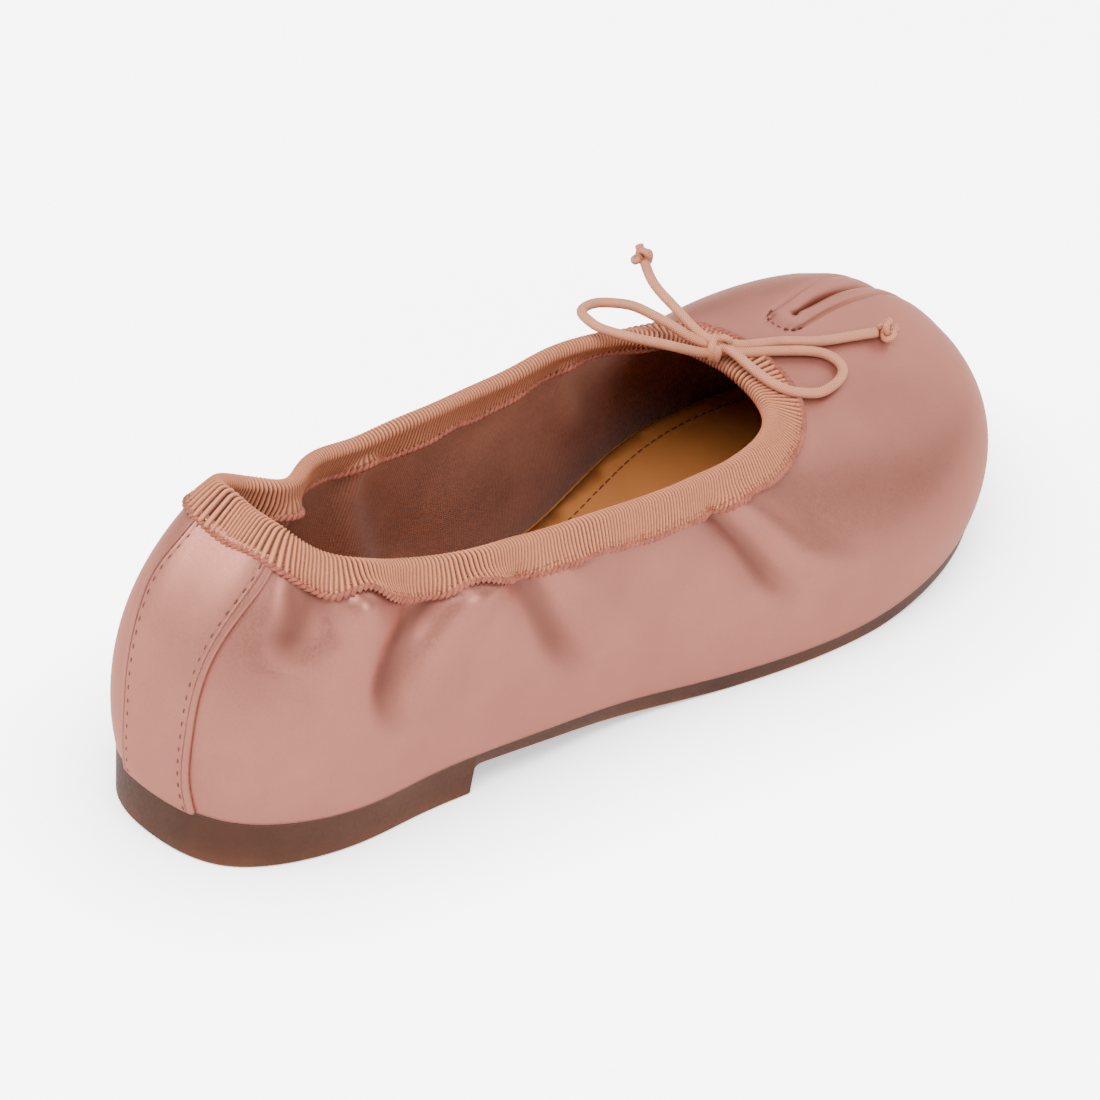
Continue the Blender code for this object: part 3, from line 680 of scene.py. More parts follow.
@dataclass(frozen=True)
class Bench:
    """Lays out nodes in one tree."""

    tree: bpy.types.NodeTree

    def fill(self, node: bpy.types.Node, sockets: Mapping) -> None:
        """Give values or sockets to a node's inputs, by name or number."""
        for key, value in sockets.items():
            if isinstance(value, Socket):
                self.tree.links.new(value, node.inputs[key])
            else:
                node.inputs[key].default_value = value

    def put(self, kind: str, sockets: Mapping | None = None, **settings: object) -> bpy.types.Node:
        """Place one node.

        Args:
            kind: The node's type.
            sockets: Values or sockets for the node's inputs, by name or number.
            **settings: The node's own properties.

        Returns:
            The node.
        """
        node = self.tree.nodes.new(kind)
        for key, value in settings.items():
            setattr(node, key, value)
        self.fill(node, sockets or {})
        return node

    def maths(self, operation: str, *values: object) -> Socket:
        """Result of one arithmetic node."""
        return self.put("ShaderNodeMath", dict(enumerate(values)), operation=operation).outputs[0]

    def blend(self, first: object, share: float, second: object, rest: float) -> Socket:
        """Sum of two values, each times its share."""
        return self.maths("ADD", self.maths("MULTIPLY", first, share),
                          self.maths("MULTIPLY", second, rest))

    def mixed(self, share: object, first: object, second: object) -> Socket:
        """Colour between two colours."""
        node = self.put("ShaderNodeMix", {0: share, 6: first, 7: second}, data_type="RGBA")
        return node.outputs[2]

    def noise(self, where: object, scale: object, detail: float = 2.0, rough: float = 0.5
              ) -> Socket:
        """Soft noise from 0 to 1."""
        return self.put("ShaderNodeTexNoise", {"Vector": where, "Scale": scale, "Detail": detail,
                                               "Roughness": rough}).outputs[0]

    def ramp(self, value: object, low: float, high: float, start: float = 0.0, end: float = 1.0
             ) -> Socket:
        """Value stretched so that low becomes the start and high the end."""
        return self.put("ShaderNodeMapRange", {0: value, 1: low, 2: high, 3: start, 4: end},
                        clamp=True).outputs[0]

    def kept(self, name: str) -> Socket:
        """Value that the mesh keeps under a name."""
        return self.put("ShaderNodeAttribute", attribute_name=name).outputs["Fac"]

    def where(self) -> Socket:
        """Place on the object."""
        return self.put("ShaderNodeTexCoord").outputs["Object"]

    def mottle(self, broad: float, fine: float) -> Mapping:
        """Tone and Grain of uneven dye at two scales."""
        return self.put("ShaderNodeGroup", {"Place": self.where(), "Broad": broad, "Fine": fine},
                        node_tree=mottle_effect()).outputs

    def weave(self, across: float, along: float, unevenness: float, turned: float = 0.0) -> Mapping:
        """Height and Tone of threads over the piece's own map.

        Args:
            across: Spacing of the threads across the map.
            along: Spacing of the threads along the map.
            unevenness: How far the threads wander.
            turned: Turn of the threads on the map, in radians.

        Returns:
            The group's outputs.
        """
        cloth = self.put("ShaderNodeUVMap", uv_map="cloth").outputs[0]
        if turned:
            cloth = self.put("ShaderNodeMapping", {"Vector": cloth,
                                                   "Rotation": (0, 0, turned)}).outputs[0]
        return self.put("ShaderNodeGroup", {"Place": cloth, "Across": across, "Along": along,
                                            "Unevenness": unevenness},
                        node_tree=weave_effect()).outputs


def effect(name: str, inputs: Mapping[str, object], outputs: Sequence[str]) -> tuple:
    """Start a shader group, or find it again.

    Args:
        name: The group's name.
        inputs: First value of each input, or None for a place.
        outputs: Names of the values that it puts out.

    Returns:
        The tree, and a bench, the inputs and the end node if it is new, otherwise None.
    """
    found = bpy.data.node_groups.get(name)
    if found:
        return found, None
    tree = bpy.data.node_groups.new(name, "ShaderNodeTree")
    for key, value in inputs.items():
        socket = tree.interface.new_socket(key, in_out="INPUT",
                                           socket_type=VECTOR if value is None else FLOAT)
        if value is not None:
            socket.default_value = value
    for key in outputs:
        tree.interface.new_socket(key, in_out="OUTPUT", socket_type=FLOAT)
    bench = Bench(tree)
    return tree, (bench, bench.put("NodeGroupInput").outputs, bench.put("NodeGroupOutput"))


def weave_effect() -> bpy.types.NodeTree:
    """Plain weave seen close to: Height and Tone of crossing threads."""
    tree, fresh = effect("Weave", {"Place": None, "Across": 0.5, "Along": 0.5, "Unevenness": 0.4},
                         ("Height", "Tone"))
    if fresh:
        bench, given, end = fresh
        wander = bench.noise(given["Place"], 90.0)
        pair = bench.put("ShaderNodeSeparateXYZ", {0: given["Place"]}).outputs
        shift = bench.maths("MULTIPLY", wander, given["Unevenness"])
        waves = []
        for axis, pitch in ((0, given["Across"]), (1, given["Along"])):
            turn = bench.maths("DIVIDE", bench.maths("MULTIPLY", pair[axis], 100.0), pitch)
            turn = bench.maths("MULTIPLY", bench.maths("ADD", turn, shift), 2 * math.pi)
            waves.append(bench.maths("SINE", turn))
        height = bench.maths("ADD", bench.blend(waves[0], 0.25, waves[1], 0.25), 0.5)
        bench.fill(end, {"Height": height, "Tone": bench.blend(height, 0.6, wander, 0.4)})
    return tree


def mottle_effect() -> bpy.types.NodeTree:
    """Uneven dye and handling: a broad and a fine tone with the grain's height."""
    tree, fresh = effect("Mottle", {"Place": None, "Broad": 30.0, "Fine": 1500.0},
                         ("Tone", "Grain"))
    if fresh:
        bench, given, end = fresh
        bench.fill(end, {"Tone": bench.noise(given["Place"], given["Broad"], 3.0, 0.55),
                         "Grain": bench.noise(given["Place"], given["Fine"], 2.0, 0.6)})
    return tree


@dataclass(frozen=True)
class Finish:
    """A material made from nodes, built once.

    Its colour runs from `deep` to `light`. `relief` is the share of its bump that shows and the
    bump's depth in metres.
    """

    name: str
    light: tuple
    deep: tuple
    relief: tuple
    specular: float = 0.5

    def build(self) -> bpy.types.Material:
        """The material, made the first time that it is asked for."""
        made = bpy.data.materials.get(self.name)
        if made is None:
            made = bpy.data.materials.new(self.name)
            made.use_nodes = True
            bench = Bench(made.node_tree)
            height, sockets = self.dress(bench)
            bump = bench.put("ShaderNodeBump", {"Height": height, "Strength": self.relief[0],
                                                "Distance": self.relief[1]})
            bench.fill(made.node_tree.nodes["Principled BSDF"], {
                **sockets, "Specular IOR Level": self.specular, "Normal": bump.outputs[0]})
        return made

    def colour(self, bench: Bench, share: object, low: float, high: float) -> Socket:
        """Deep colour where the share is low and light colour where it is high."""
        return bench.mixed(bench.ramp(share, low, high), self.deep, self.light)

    def dress(self, bench: Bench) -> tuple[object, Mapping]:
        """Height of the bump from 0 to 1, and what goes into the shader's sockets."""
        raise NotImplementedError


@dataclass(frozen=True)
class Satin(Finish):
    """Dusty rose satin: soft sheen, fine floats, a faint unevenness of the dye and painted shade in
    the hollows of its creases.
    """

    name: str = "rose_satin_cloth"
    light: tuple = (0.385, 0.150, 0.112, 1.0)
    deep: tuple = (0.280, 0.105, 0.078, 1.0)
    relief: tuple = (0.16, 0.00015)
    specular: float = 0.3
    # Colour of the painted shade in the hollows of the creases.
    painted_shade: tuple = (0.060, 0.019, 0.014, 1.0)
    gloss: float = 0.42
    metal: float = 0.66
    tint: tuple = (1.0, 0.62, 0.52, 1.0)

    def dress(self, bench: Bench) -> tuple[object, Mapping]:
        """Lay out the satin's nodes, with painted shade darkening the hollows of its creases, which
        are also less glossy.
        """
        mottle = bench.mottle(45.0, 1900.0)
        weave = bench.weave(0.45, 0.3, 0.5)
        hollow = bench.kept("hollow")
        colour = self.colour(bench, bench.blend(mottle["Tone"], 0.55, mottle["Grain"], 0.45),
                             0.2, 0.75)
        # Painted shade: the colour darkens towards painted_shade in the hollows of the creases.
        colour = bench.mixed(bench.maths("MULTIPLY", hollow, 0.95), colour, self.painted_shade)
        rough = bench.ramp(mottle["Grain"], 0.3, 0.7, self.gloss - 0.05, self.gloss + 0.07)
        rough = bench.maths("ADD", rough, bench.maths("MULTIPLY", hollow, 0.3))
        return bench.blend(weave["Height"], 0.35, mottle["Grain"], 0.65), {
            "Base Color": colour, "Roughness": rough, "Metallic": self.metal,
            "Specular Tint": self.tint}


@dataclass(frozen=True)
class Textile(Finish):
    """Matt woven lining."""

    name: str = "lining_cloth"
    light: tuple = (0.400, 0.148, 0.084, 1.0)
    deep: tuple = (0.170, 0.055, 0.029, 1.0)
    relief: tuple = (0.6, 0.0002)
    specular: float = 0.2
    pitch: float = 0.55

    def dress(self, bench: Bench) -> tuple[object, Mapping]:
        """Lay out the lining's nodes."""
        mottle = bench.mottle(60.0, 900.0)
        weave = bench.weave(self.pitch, self.pitch, 0.6)
        share = bench.blend(weave["Tone"], 0.6, mottle["Tone"], 0.4)
        return weave["Height"], {"Base Color": self.colour(bench, share, 0.3, 0.72),
                                 "Roughness": 0.85, "Sheen Weight": 0.15}


@dataclass(frozen=True)
class RibbedTape(Finish):
    """Woven elastic tape: fine threads along it over the modelled ribs."""

    name: str = "ribbed_tape_cloth"
    light: tuple = (0.520, 0.190, 0.098, 1.0)
    # Nearly black, as the deep colour carries the painted shade between the ribs.
    deep: tuple = (0.045, 0.011, 0.005, 1.0)
    relief: tuple = (0.5, 0.00025)
    specular: float = 0.2

    def dress(self, bench: Bench) -> tuple[object, Mapping]:
        """Lay out the tape's nodes, with painted shade between its ribs."""
        mottle = bench.mottle(160.0, 2200.0)
        weave = bench.weave(1.0, 0.35, 0.15)
        # The kept rib value paints shade into the gaps between the ribs and lighter colour onto
        # their crests.
        share = bench.blend(bench.kept("rib"), 0.8, mottle["Grain"], 0.2)
        return bench.blend(weave["Height"], 0.5, mottle["Grain"], 0.5), {
            "Base Color": self.colour(bench, share, 0.15, 0.7), "Roughness": 0.72}


@dataclass(frozen=True)
class Thread(Finish):
    """Twisted sewing thread."""

    name: str = "rose_thread"
    light: tuple = (0.360, 0.108, 0.068, 1.0)
    deep: tuple = (0.150, 0.040, 0.024, 1.0)
    relief: tuple = (0.5, 0.0002)
    specular: float = 0.2

    def dress(self, bench: Bench) -> tuple[object, Mapping]:
        """Lay out the thread's nodes."""
        mottle = bench.mottle(300.0, 2600.0)
        share = bench.blend(mottle["Tone"], 0.5, mottle["Grain"], 0.5)
        return mottle["Grain"], {"Base Color": self.colour(bench, share, 0.3, 0.7),
                                 "Roughness": 0.5}


@dataclass(frozen=True)
class Braid(Finish):
    """Round peach cord with a fine braid."""

    name: str = "peach_cord_braid"
    light: tuple = (0.580, 0.225, 0.118, 1.0)
    deep: tuple = (0.260, 0.080, 0.036, 1.0)
    relief: tuple = (0.5, 0.00016)
    sheen_tint: tuple = (1.0, 0.8, 0.7, 1.0)

    def dress(self, bench: Bench) -> tuple[object, Mapping]:
        """Lay out the cord's nodes, with threads that slant round it."""
        weave = bench.weave(0.42, 0.42, 0.12, 0.7)
        mottle = bench.mottle(120.0, 2600.0)
        share = bench.blend(weave["Height"], 0.6, mottle["Tone"], 0.4)
        return weave["Height"], {"Base Color": self.colour(bench, share, 0.25, 0.7),
                                 "Roughness": 0.55, "Sheen Weight": 0.1,
                                 "Sheen Tint": self.sheen_tint}


@dataclass(frozen=True)
class SockLeather(Finish):
    """Smooth tan leather with a fine pore grain."""

    name: str = "tan_sock_grain"
    light: tuple = (0.400, 0.140, 0.032, 1.0)
    deep: tuple = (0.300, 0.098, 0.021, 1.0)
    relief: tuple = (0.18, 0.0001)

    def dress(self, bench: Bench) -> tuple[object, Mapping]:
        """Lay out the leather's nodes."""
        mottle = bench.mottle(22.0, 1400.0)
        pores = bench.put("ShaderNodeTexVoronoi", {"Vector": bench.where(), "Scale": 1100.0},
                          feature="DISTANCE_TO_EDGE").outputs["Distance"]
        height = bench.maths("ADD", bench.ramp(pores, 0.0, 0.12),
                             bench.maths("MULTIPLY", mottle["Grain"], 0.5))
        return height, {"Base Color": self.colour(bench, mottle["Tone"], 0.3, 0.7),
                        "Roughness": bench.ramp(mottle["Tone"], 0.3, 0.7, 0.46, 0.58)}


@dataclass(frozen=True)
class MouldedSole(Finish):
    """Moulded brown sole with a satin face, painted lighter at its lower corner as bounce light
    from the floor.
    """

    name: str = "brown_sole_moulding"
    light: tuple = (0.066, 0.022, 0.0095, 1.0)
    deep: tuple = (0.036, 0.0115, 0.005, 1.0)
    relief: tuple = (0.12, 0.00015)
    specular: float = 0.15
    # Colour of the painted bounce light along the lower corner.
    rubbed: tuple = (0.190, 0.058, 0.021, 1.0)

    def dress(self, bench: Bench) -> tuple[object, Mapping]:
        """Lay out the sole's nodes, with painted bounce light along the lower corner."""
        mottle = bench.mottle(35.0, 1100.0)
        bounce_share = bench.maths("MULTIPLY", bench.kept("rubbed"), bench.ramp(mottle["Tone"], 0.2, 0.6))
        colour = bench.mixed(bounce_share, self.colour(bench, mottle["Tone"], 0.3, 0.7), self.rubbed)
        return mottle["Grain"], {"Base Color": colour,
                                 "Roughness": bench.ramp(mottle["Grain"], 0.3, 0.7, 0.5, 0.62)}


SATIN, LINING, TAPE, BRAID = Satin(), Textile(), RibbedTape(), Braid()
SOCK, MOULDING = SockLeather(), MouldedSole()
EDGE_THREAD = Thread()
# Seam thread painted dark: its colour stands for the shade in the sunken stitch slots, the thread
# itself being near the satin's colour.
SHADED_SEAM_THREAD = Thread("seam_thread", (0.150, 0.048, 0.034, 1.0), (0.060, 0.017, 0.012, 1.0))
SOCK_THREAD = Thread("sock_thread", (0.170, 0.060, 0.022, 1.0), (0.070, 0.022, 0.009, 1.0))


# ---------------------------------------------------------------------------------------------
# Repeats
# ---------------------------------------------------------------------------------------------


@dataclass
class Growth:
    """A geometry tree with named inputs, run once and turned into a plain mesh."""

    name: str
    values: dict

    def start(self) -> tuple[Bench, Mapping]:
        """Open a tree with the growth's inputs, and give its bench and those inputs."""
        tree = bpy.data.node_groups.new(self.name, "GeometryNodeTree")
        tree.interface.new_socket("Geometry", in_out="INPUT", socket_type="NodeSocketGeometry")
        self.sockets = {}
        for key, value in self.values.items():
            kind = "NodeSocketMaterial" if isinstance(value, bpy.types.Material) else FLOAT
            self.sockets[key] = tree.interface.new_socket(key, in_out="INPUT", socket_type=kind)
        tree.interface.new_socket("Geometry", in_out="OUTPUT", socket_type="NodeSocketGeometry")
        self.bench = Bench(tree)
        self.given = self.bench.put("NodeGroupInput").outputs
        return self.bench, self.given

    def close(self, geometry: Socket) -> None:
        """End the tree in plain meshes of the given material."""
        real = self.bench.put("GeometryNodeRealizeInstances", {0: geometry}).outputs[0]
        rounded = self.bench.put("GeometryNodeSetShadeSmooth", {0: real}).outputs[0]
        dressed = self.bench.put("GeometryNodeSetMaterial", {
            "Geometry": rounded, "Material": self.given["Material"]}).outputs[0]
        self.bench.put("NodeGroupOutput", {0: dressed})

    def grow(self, seed: Piece, name: str) -> Piece:
        """Run the tree on an object and keep the result.

        Args:
            seed: The object that the tree starts from. It is removed.
            name: Name of the finished piece.

        Returns:
            A plain mesh object at the origin.
        """
        modifier = seed.modifiers.new(self.name, "NODES")
        modifier.node_group = self.bench.tree
        for key, value in self.values.items():
            modifier[self.sockets[key].identifier] = value
        graph = bpy.context.evaluated_depsgraph_get()
        graph.update()
        mesh = bpy.data.meshes.new_from_object(seed.evaluated_get(graph), depsgraph=graph)
        bpy.data.objects.remove(seed)
        mesh.name = name
        return new_object(name, mesh)


@dataclass(frozen=True)
class Stitching:
    """A row of thread segments along a line, each dipping into the cloth at its ends."""

    pitch: float
    length: float
    thickness: float
    finish: Finish
    rise: float
    sink: float
    slant: float = 0.0
    steps: int = 5
    sides: int = 6

    def sew(self, name: str, rows: Sequence[tuple]) -> Piece:
        """Sew along lines.

        Args:
            name: Name of the piece.
            rows: Pairs of places along a line and the outward directions there, in millimetres.

        Returns:
            The finished stitches.
        """
        growth = Growth(name + "_growth", {
            "Pitch": self.pitch * MM, "Length": self.length * MM,
            "Thickness": self.thickness * MM, "Rise": self.rise * MM, "Sink": self.sink * MM,
            "Slant": math.radians(self.slant), "Material": self.finish.build()})
        bench, given = growth.start()
        line = bench.put("GeometryNodeMeshToCurve", {0: given["Geometry"]}).outputs[0]
        spaced = bench.put("GeometryNodeResampleCurve", {"Curve": line, "Length": given["Pitch"]},
                           mode="LENGTH").outputs[0]
        low = bench.maths("MULTIPLY", given["Sink"], -1.0)
        ends = [bench.put("ShaderNodeCombineXYZ", {
            0: bench.maths("MULTIPLY", given["Length"], half), 2: low}).outputs[0]
                for half in (-0.5, 0.5)]
        crown = bench.maths("ADD", bench.maths("MULTIPLY", given["Rise"], 2.0), given["Sink"])
        middle = bench.put("ShaderNodeCombineXYZ", {2: crown}).outputs[0]
        arch = bench.put("GeometryNodeCurveQuadraticBezier", {
            "Resolution": self.steps, "Start": ends[0], "Middle": middle,
            "End": ends[1]}).outputs[0]
        radius = bench.maths("MULTIPLY", given["Thickness"], 0.5)
        round_edge = bench.put("GeometryNodeCurvePrimitiveCircle", {
            "Resolution": self.sides, "Radius": radius}).outputs[0]
        segment = bench.put("GeometryNodeCurveToMesh", {
            "Curve": arch, "Profile Curve": round_edge, "Fill Caps": True}).outputs[0]
        facing = bench.put("GeometryNodeInputNamedAttribute", {"Name": "facing"},
                           data_type="FLOAT_VECTOR").outputs[0]
        along = bench.put("FunctionNodeAlignRotationToVector", {
            "Vector": bench.put("GeometryNodeInputTangent").outputs[0]}, axis="X").outputs[0]
        upright = bench.put("FunctionNodeAlignRotationToVector", {
            "Rotation": along, "Vector": facing}, axis="Z", pivot_axis="X").outputs[0]
        turn = bench.put("FunctionNodeEulerToRotation", {
            0: bench.put("ShaderNodeCombineXYZ", {2: given["Slant"]}).outputs[0]}).outputs[0]
        turned = bench.put("FunctionNodeRotateRotation", {
            "Rotation": upright, "Rotate By": turn}, rotation_space="LOCAL").outputs[0]
        set_out = bench.put("GeometryNodeInstanceOnPoints", {
            "Points": spaced, "Instance": segment, "Rotation": turned}).outputs[0]
        growth.close(set_out)
        return growth.grow(guide(name + "_line", rows), name)

    def put_down(self, name: str, slot: str, rows: Sequence[tuple]) -> None:
        """Sew along lines and make the stitches ride on the shoe."""
        put_on(self.sew(name, rows), slot)


def guide(name: str, rows: Sequence[tuple]) -> Piece:
    """Lines of places with the outward direction at each.

    Args:
        name: Name of the object.
        rows: Pairs of places and outward directions in shoe millimetres.

    Returns:
        A mesh of edges with a `facing` attribute.
    """
    places = np.vstack([row[0] for row in rows])
    facing = (np.vstack([row[1] for row in rows]) * (-1, -1, 1))[:, [1, 0, 2]]
    edges, first = [], 0
    for row in rows:
        edges += [(first + k, first + k + 1) for k in range(len(row[0]) - 1)]
        first += len(row[0])
    mesh = bpy.data.meshes.new(name)
    mesh.from_pydata(to_world(places).tolist(), edges, [])
    mesh.attributes.new("facing", "FLOAT_VECTOR", "POINT").data.foreach_set(
        "vector", facing.astype(np.float32).ravel())
    return new_object(name, mesh)


def put_on(piece: Piece, slot: str, *nodes: str) -> Piece:
    """Make a finished piece ride on the shoe and stand for its nodes."""
    if nodes:
        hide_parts(*nodes)
    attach(piece, "root")
    LOG.info("%s: %d faces", piece.name, len(piece.data.polygons))
    return piece


# ---------------------------------------------------------------------------------------------
# Pieces
# ---------------------------------------------------------------------------------------------


@dataclass(frozen=True)
class Fold:
    """Half of the toe split's section, from its middle outwards.

    `flat` is where the cloth lies past the closed end. The outside, the inside of the wall and
    the edge of the margin stand at the other across and depth values where the split is open.
    """

    flat: float
    across: float
    depth: float
    back_across: float
    back_depth: float
    edge_across: float
    edge_depth: float


FOLDS = (
    Fold(0.00, 0.00, 12.0, 0.0, 13.6, 0.0, 19.4),
    Fold(0.47, 0.12, 11.8, 0.9, 13.5, 1.5, 19.2),
    Fold(0.93, 0.17, 9.6, 1.8, 12.8, 3.0, 18.9),
    Fold(1.40, 0.20, 6.4, 2.0, 9.5, 4.4, 17.8),
    Fold(1.87, 0.28, 3.7, 2.2, 6.4, 5.5, 16.2),
    Fold(2.33, 0.60, 1.7, 2.6, 3.9, 6.4, 14.2),
    Fold(2.80, 1.35, 0.60, 3.1, 2.6, 7.1, 11.8),
    Fold(3.27, 2.50, 0.25, 3.7, 1.85, 7.7, 9.9),
    Fold(3.73, 3.40, 0.04, 4.1, 1.6, 8.1, 8.6),
    Fold(4.20, 4.20, 0.0, 4.5, 1.5, 8.5, 7.5),
    Fold(5.50, 5.50, 0.0, 5.7, 1.5, 9.0, 7.5),
    Fold(8.00, 8.00, 0.0, 8.05, 1.5, 9.8, 7.5),
    Fold(10.5, 10.5, 0.0, 10.5, 1.5, 11.0, 7.5),
)


@dataclass
class Wall:
    """Columns of the upper's wall round the shoe, with the fold of the toe split among them."""

    drape: Drape
    step: float = 1.05
    thickness: float = 1.5
    margin: float = 7.5
    girth_v: float = 0.12
    split_closes_at: float = 191.8
    split_from_v: float = 0.3
    split_spots: int = 300
    split_fade: float = 12.0
    split_shuts: float = 4.5
    split_lean: tuple = ((0.0, 0.0), (0.2, -1.4), (0.55, -1.2), (0.68, 0.5), (0.75, 1.3),
                         (0.83, 1.7), (0.9, 1.3), (1.0, 0.0))
    toe_rounding: float = 2.2
    rounded_from: float = 9.0
    rounded_run: float = 24.0
    rounded_half: float = 8.0
    band: float = 4.2
    band_spread: float = 1.7
    spread_run: float = 32.0
    spread_from: tuple = (1.9, 2.3)
    lip: float = 0.75
    lip_roundness: float = 0.7
    end_roundness: float = 0.6
    seam_out: float = 1.03
    seam_dip: float = 0.45
    seam_width: float = 0.32
    side_seam_dip: float = 0.22
    side_seam_width: float = 0.3
    seam_at: float = 80.0
    seam_clear: float = 1.3
    seam_columns: tuple = (-0.9, -0.5, -0.25, 0.0, 0.25, 0.5, 0.9)
    fold_columns: int = 22
    beside: tuple = (4.3, 4.55, 4.9, 5.4, 6.1, 7.0, 8.0, 9.2, 10.5)
    beside_gap: float = 0.8

    def __post_init__(self) -> None:
        """Set the columns out."""
        last, drape = self.drape.last, self.drape
        table = np.array([list(vars(fold).values()) for fold in FOLDS])
        self.fold_parts = [Spline(table[:, 0], part) for part in table.T[1:]]
        self.split = last.spot["split"]
        v = np.linspace(self.split_from_v, 1.0, self.split_spots)
        rib = drape.place(np.full_like(v, self.split), v)
        end_v = np.interp([-self.split_closes_at], -rib[:, 0], v)
        self.end_v, split = float(end_v[0]), np.array([self.split])
        self.end = drape.place(split, end_v)[0]
        self.floor_pace = float(drape.look(drape.pace, split, end_v)[0])
        self.seam_u = drape.spot(self.seam_at, Side.INNER)
        girth = run_along(last.point(drape.u[:, None], np.array([[self.girth_v]]))[:, 0])
        clear = self.beside[-1] / self.floor_pace + self.beside_gap
        outer, inner = np.interp((self.split - clear, self.split + clear), drape.u, girth)
        spaced = [np.linspace(start, end, int((end - start) / self.step) + 1)
                  for start, end in ((0.0, outer), (inner, girth[-1]))]
        before = np.interp(spaced[0], girth, drape.u)
        after = np.interp(spaced[1][:-1], girth, drape.u)
        after = after[np.abs(after - self.seam_u) > self.seam_clear]
        after = np.sort(np.concatenate([after, self.seam_u + np.array(self.seam_columns)]))
        flats = np.append(np.linspace(0, self.band, self.fold_columns), self.beside)
        out = np.concatenate([-flats[::-1], flats[1:]])
        sizes = [len(before), len(out), len(after)]
        self.u = np.concatenate([before, np.full(len(out), self.split), after])
        self.flat = np.concatenate([np.zeros(sizes[0]), out, np.zeros(sizes[2])])
        self.split_column = np.repeat([False, True, False], sizes)
        self.girth = np.interp(self.u, drape.u, girth) + self.flat

    def lay(self, rows: Array, inset: Array | float = 0.0, raised: bool = False) -> Array:
        """Places of all columns at the given rows.

        Args:
            rows: Values of v.
            inset: Distance in from the outside, one for each row or for all.
            raised: Whether the band and the seams show, as on the outside.

        Returns:
            Places of shape (columns, rows, 3).
        """
        rows = np.asarray(rows, float)
        inset = np.broadcast_to(np.asarray(inset, float), rows.shape)
        anchor = self.drape.place(np.full_like(rows, self.split), rows)
        reach = np.linalg.norm(anchor - self.end, axis=-1) * np.sign(self.end_v - rows)
        opened = smooth(reach / self.split_fade)
        pace = np.maximum(self.drape.look(self.drape.pace, np.full_like(rows, self.split), rows),
                          self.floor_pace)
        flat = np.abs(self.flat)[:, None]
        beside = smooth((self.beside[-1] - flat) / (self.beside[-1] - self.band))
        spread = self.band_spread * beside * smooth(reach / self.spread_run) * smooth(
            (flat - self.spread_from[0]) / self.spread_from[1])
        face_a, face_d, back_a, back_d, edge_a, edge_d = (
            part(flat) for part in self.fold_parts)
        wall = np.clip(inset / self.thickness, 0, 1)
        edge = np.clip((inset - self.thickness) / (self.margin - self.thickness), 0, 1)
        across = face_a + wall * (back_a - face_a) + edge * (edge_a - back_a)
        depth = face_d + wall * (back_d - face_d) + edge * (edge_d - back_d)
        across = flat + smooth(reach / self.split_shuts) * (across - flat) + spread
        depth = inset + opened * (depth - inset)
        depth = depth + self.toe_rounding * np.clip(1 - flat / self.rounded_half, 0, 1) ** 2 * (
            smooth((reach - self.rounded_from) / self.rounded_run))
        aside = np.sign(self.flat)[:, None] * across - self.lean(rows) * beside
        u = self.u[:, None] + np.where(self.split_column[:, None], aside / pace, 0.0)
        depth = np.where(self.split_column[:, None], depth, inset)
        if raised:
            depth = depth - self.raised(flat, reach)
        return self.drape.place(u, np.broadcast_to(rows, u.shape), -depth)

    def lean(self, rows: Array) -> Array:
        """Shift of the toe split towards the outer side from its rib."""
        return Spline(*zip(*self.split_lean))(rows)

    def raised(self, flat: Array, reach: Array) -> Array:
        """Rise of the padded lips round the toe split, and the dip of the seams."""
        away = np.hypot(flat, np.maximum(-reach, 0)) / self.band
        hump = np.clip(1 - ((away - 0.5) / 0.5) ** 2, 0, 1) ** self.lip_roundness
        dome = np.clip(1 - away ** 2, 0, 1) ** self.end_roundness
        band = self.lip * (dome + smooth(reach / self.split_fade) * (hump - dome))
        band = band - self.seam_dip * bell((away - self.seam_out) * self.band, self.seam_width)
        seam = -self.side_seam_dip * bell(self.u[:, None] - self.seam_u, self.side_seam_width)
        return np.where(self.split_column[:, None], band, seam)

    def outline(self, inset: float) -> Array:
        """Plan outline of the feather line, inset by some millimetres."""
        return self.lay(np.zeros(1), inset)[:, 0, :2]


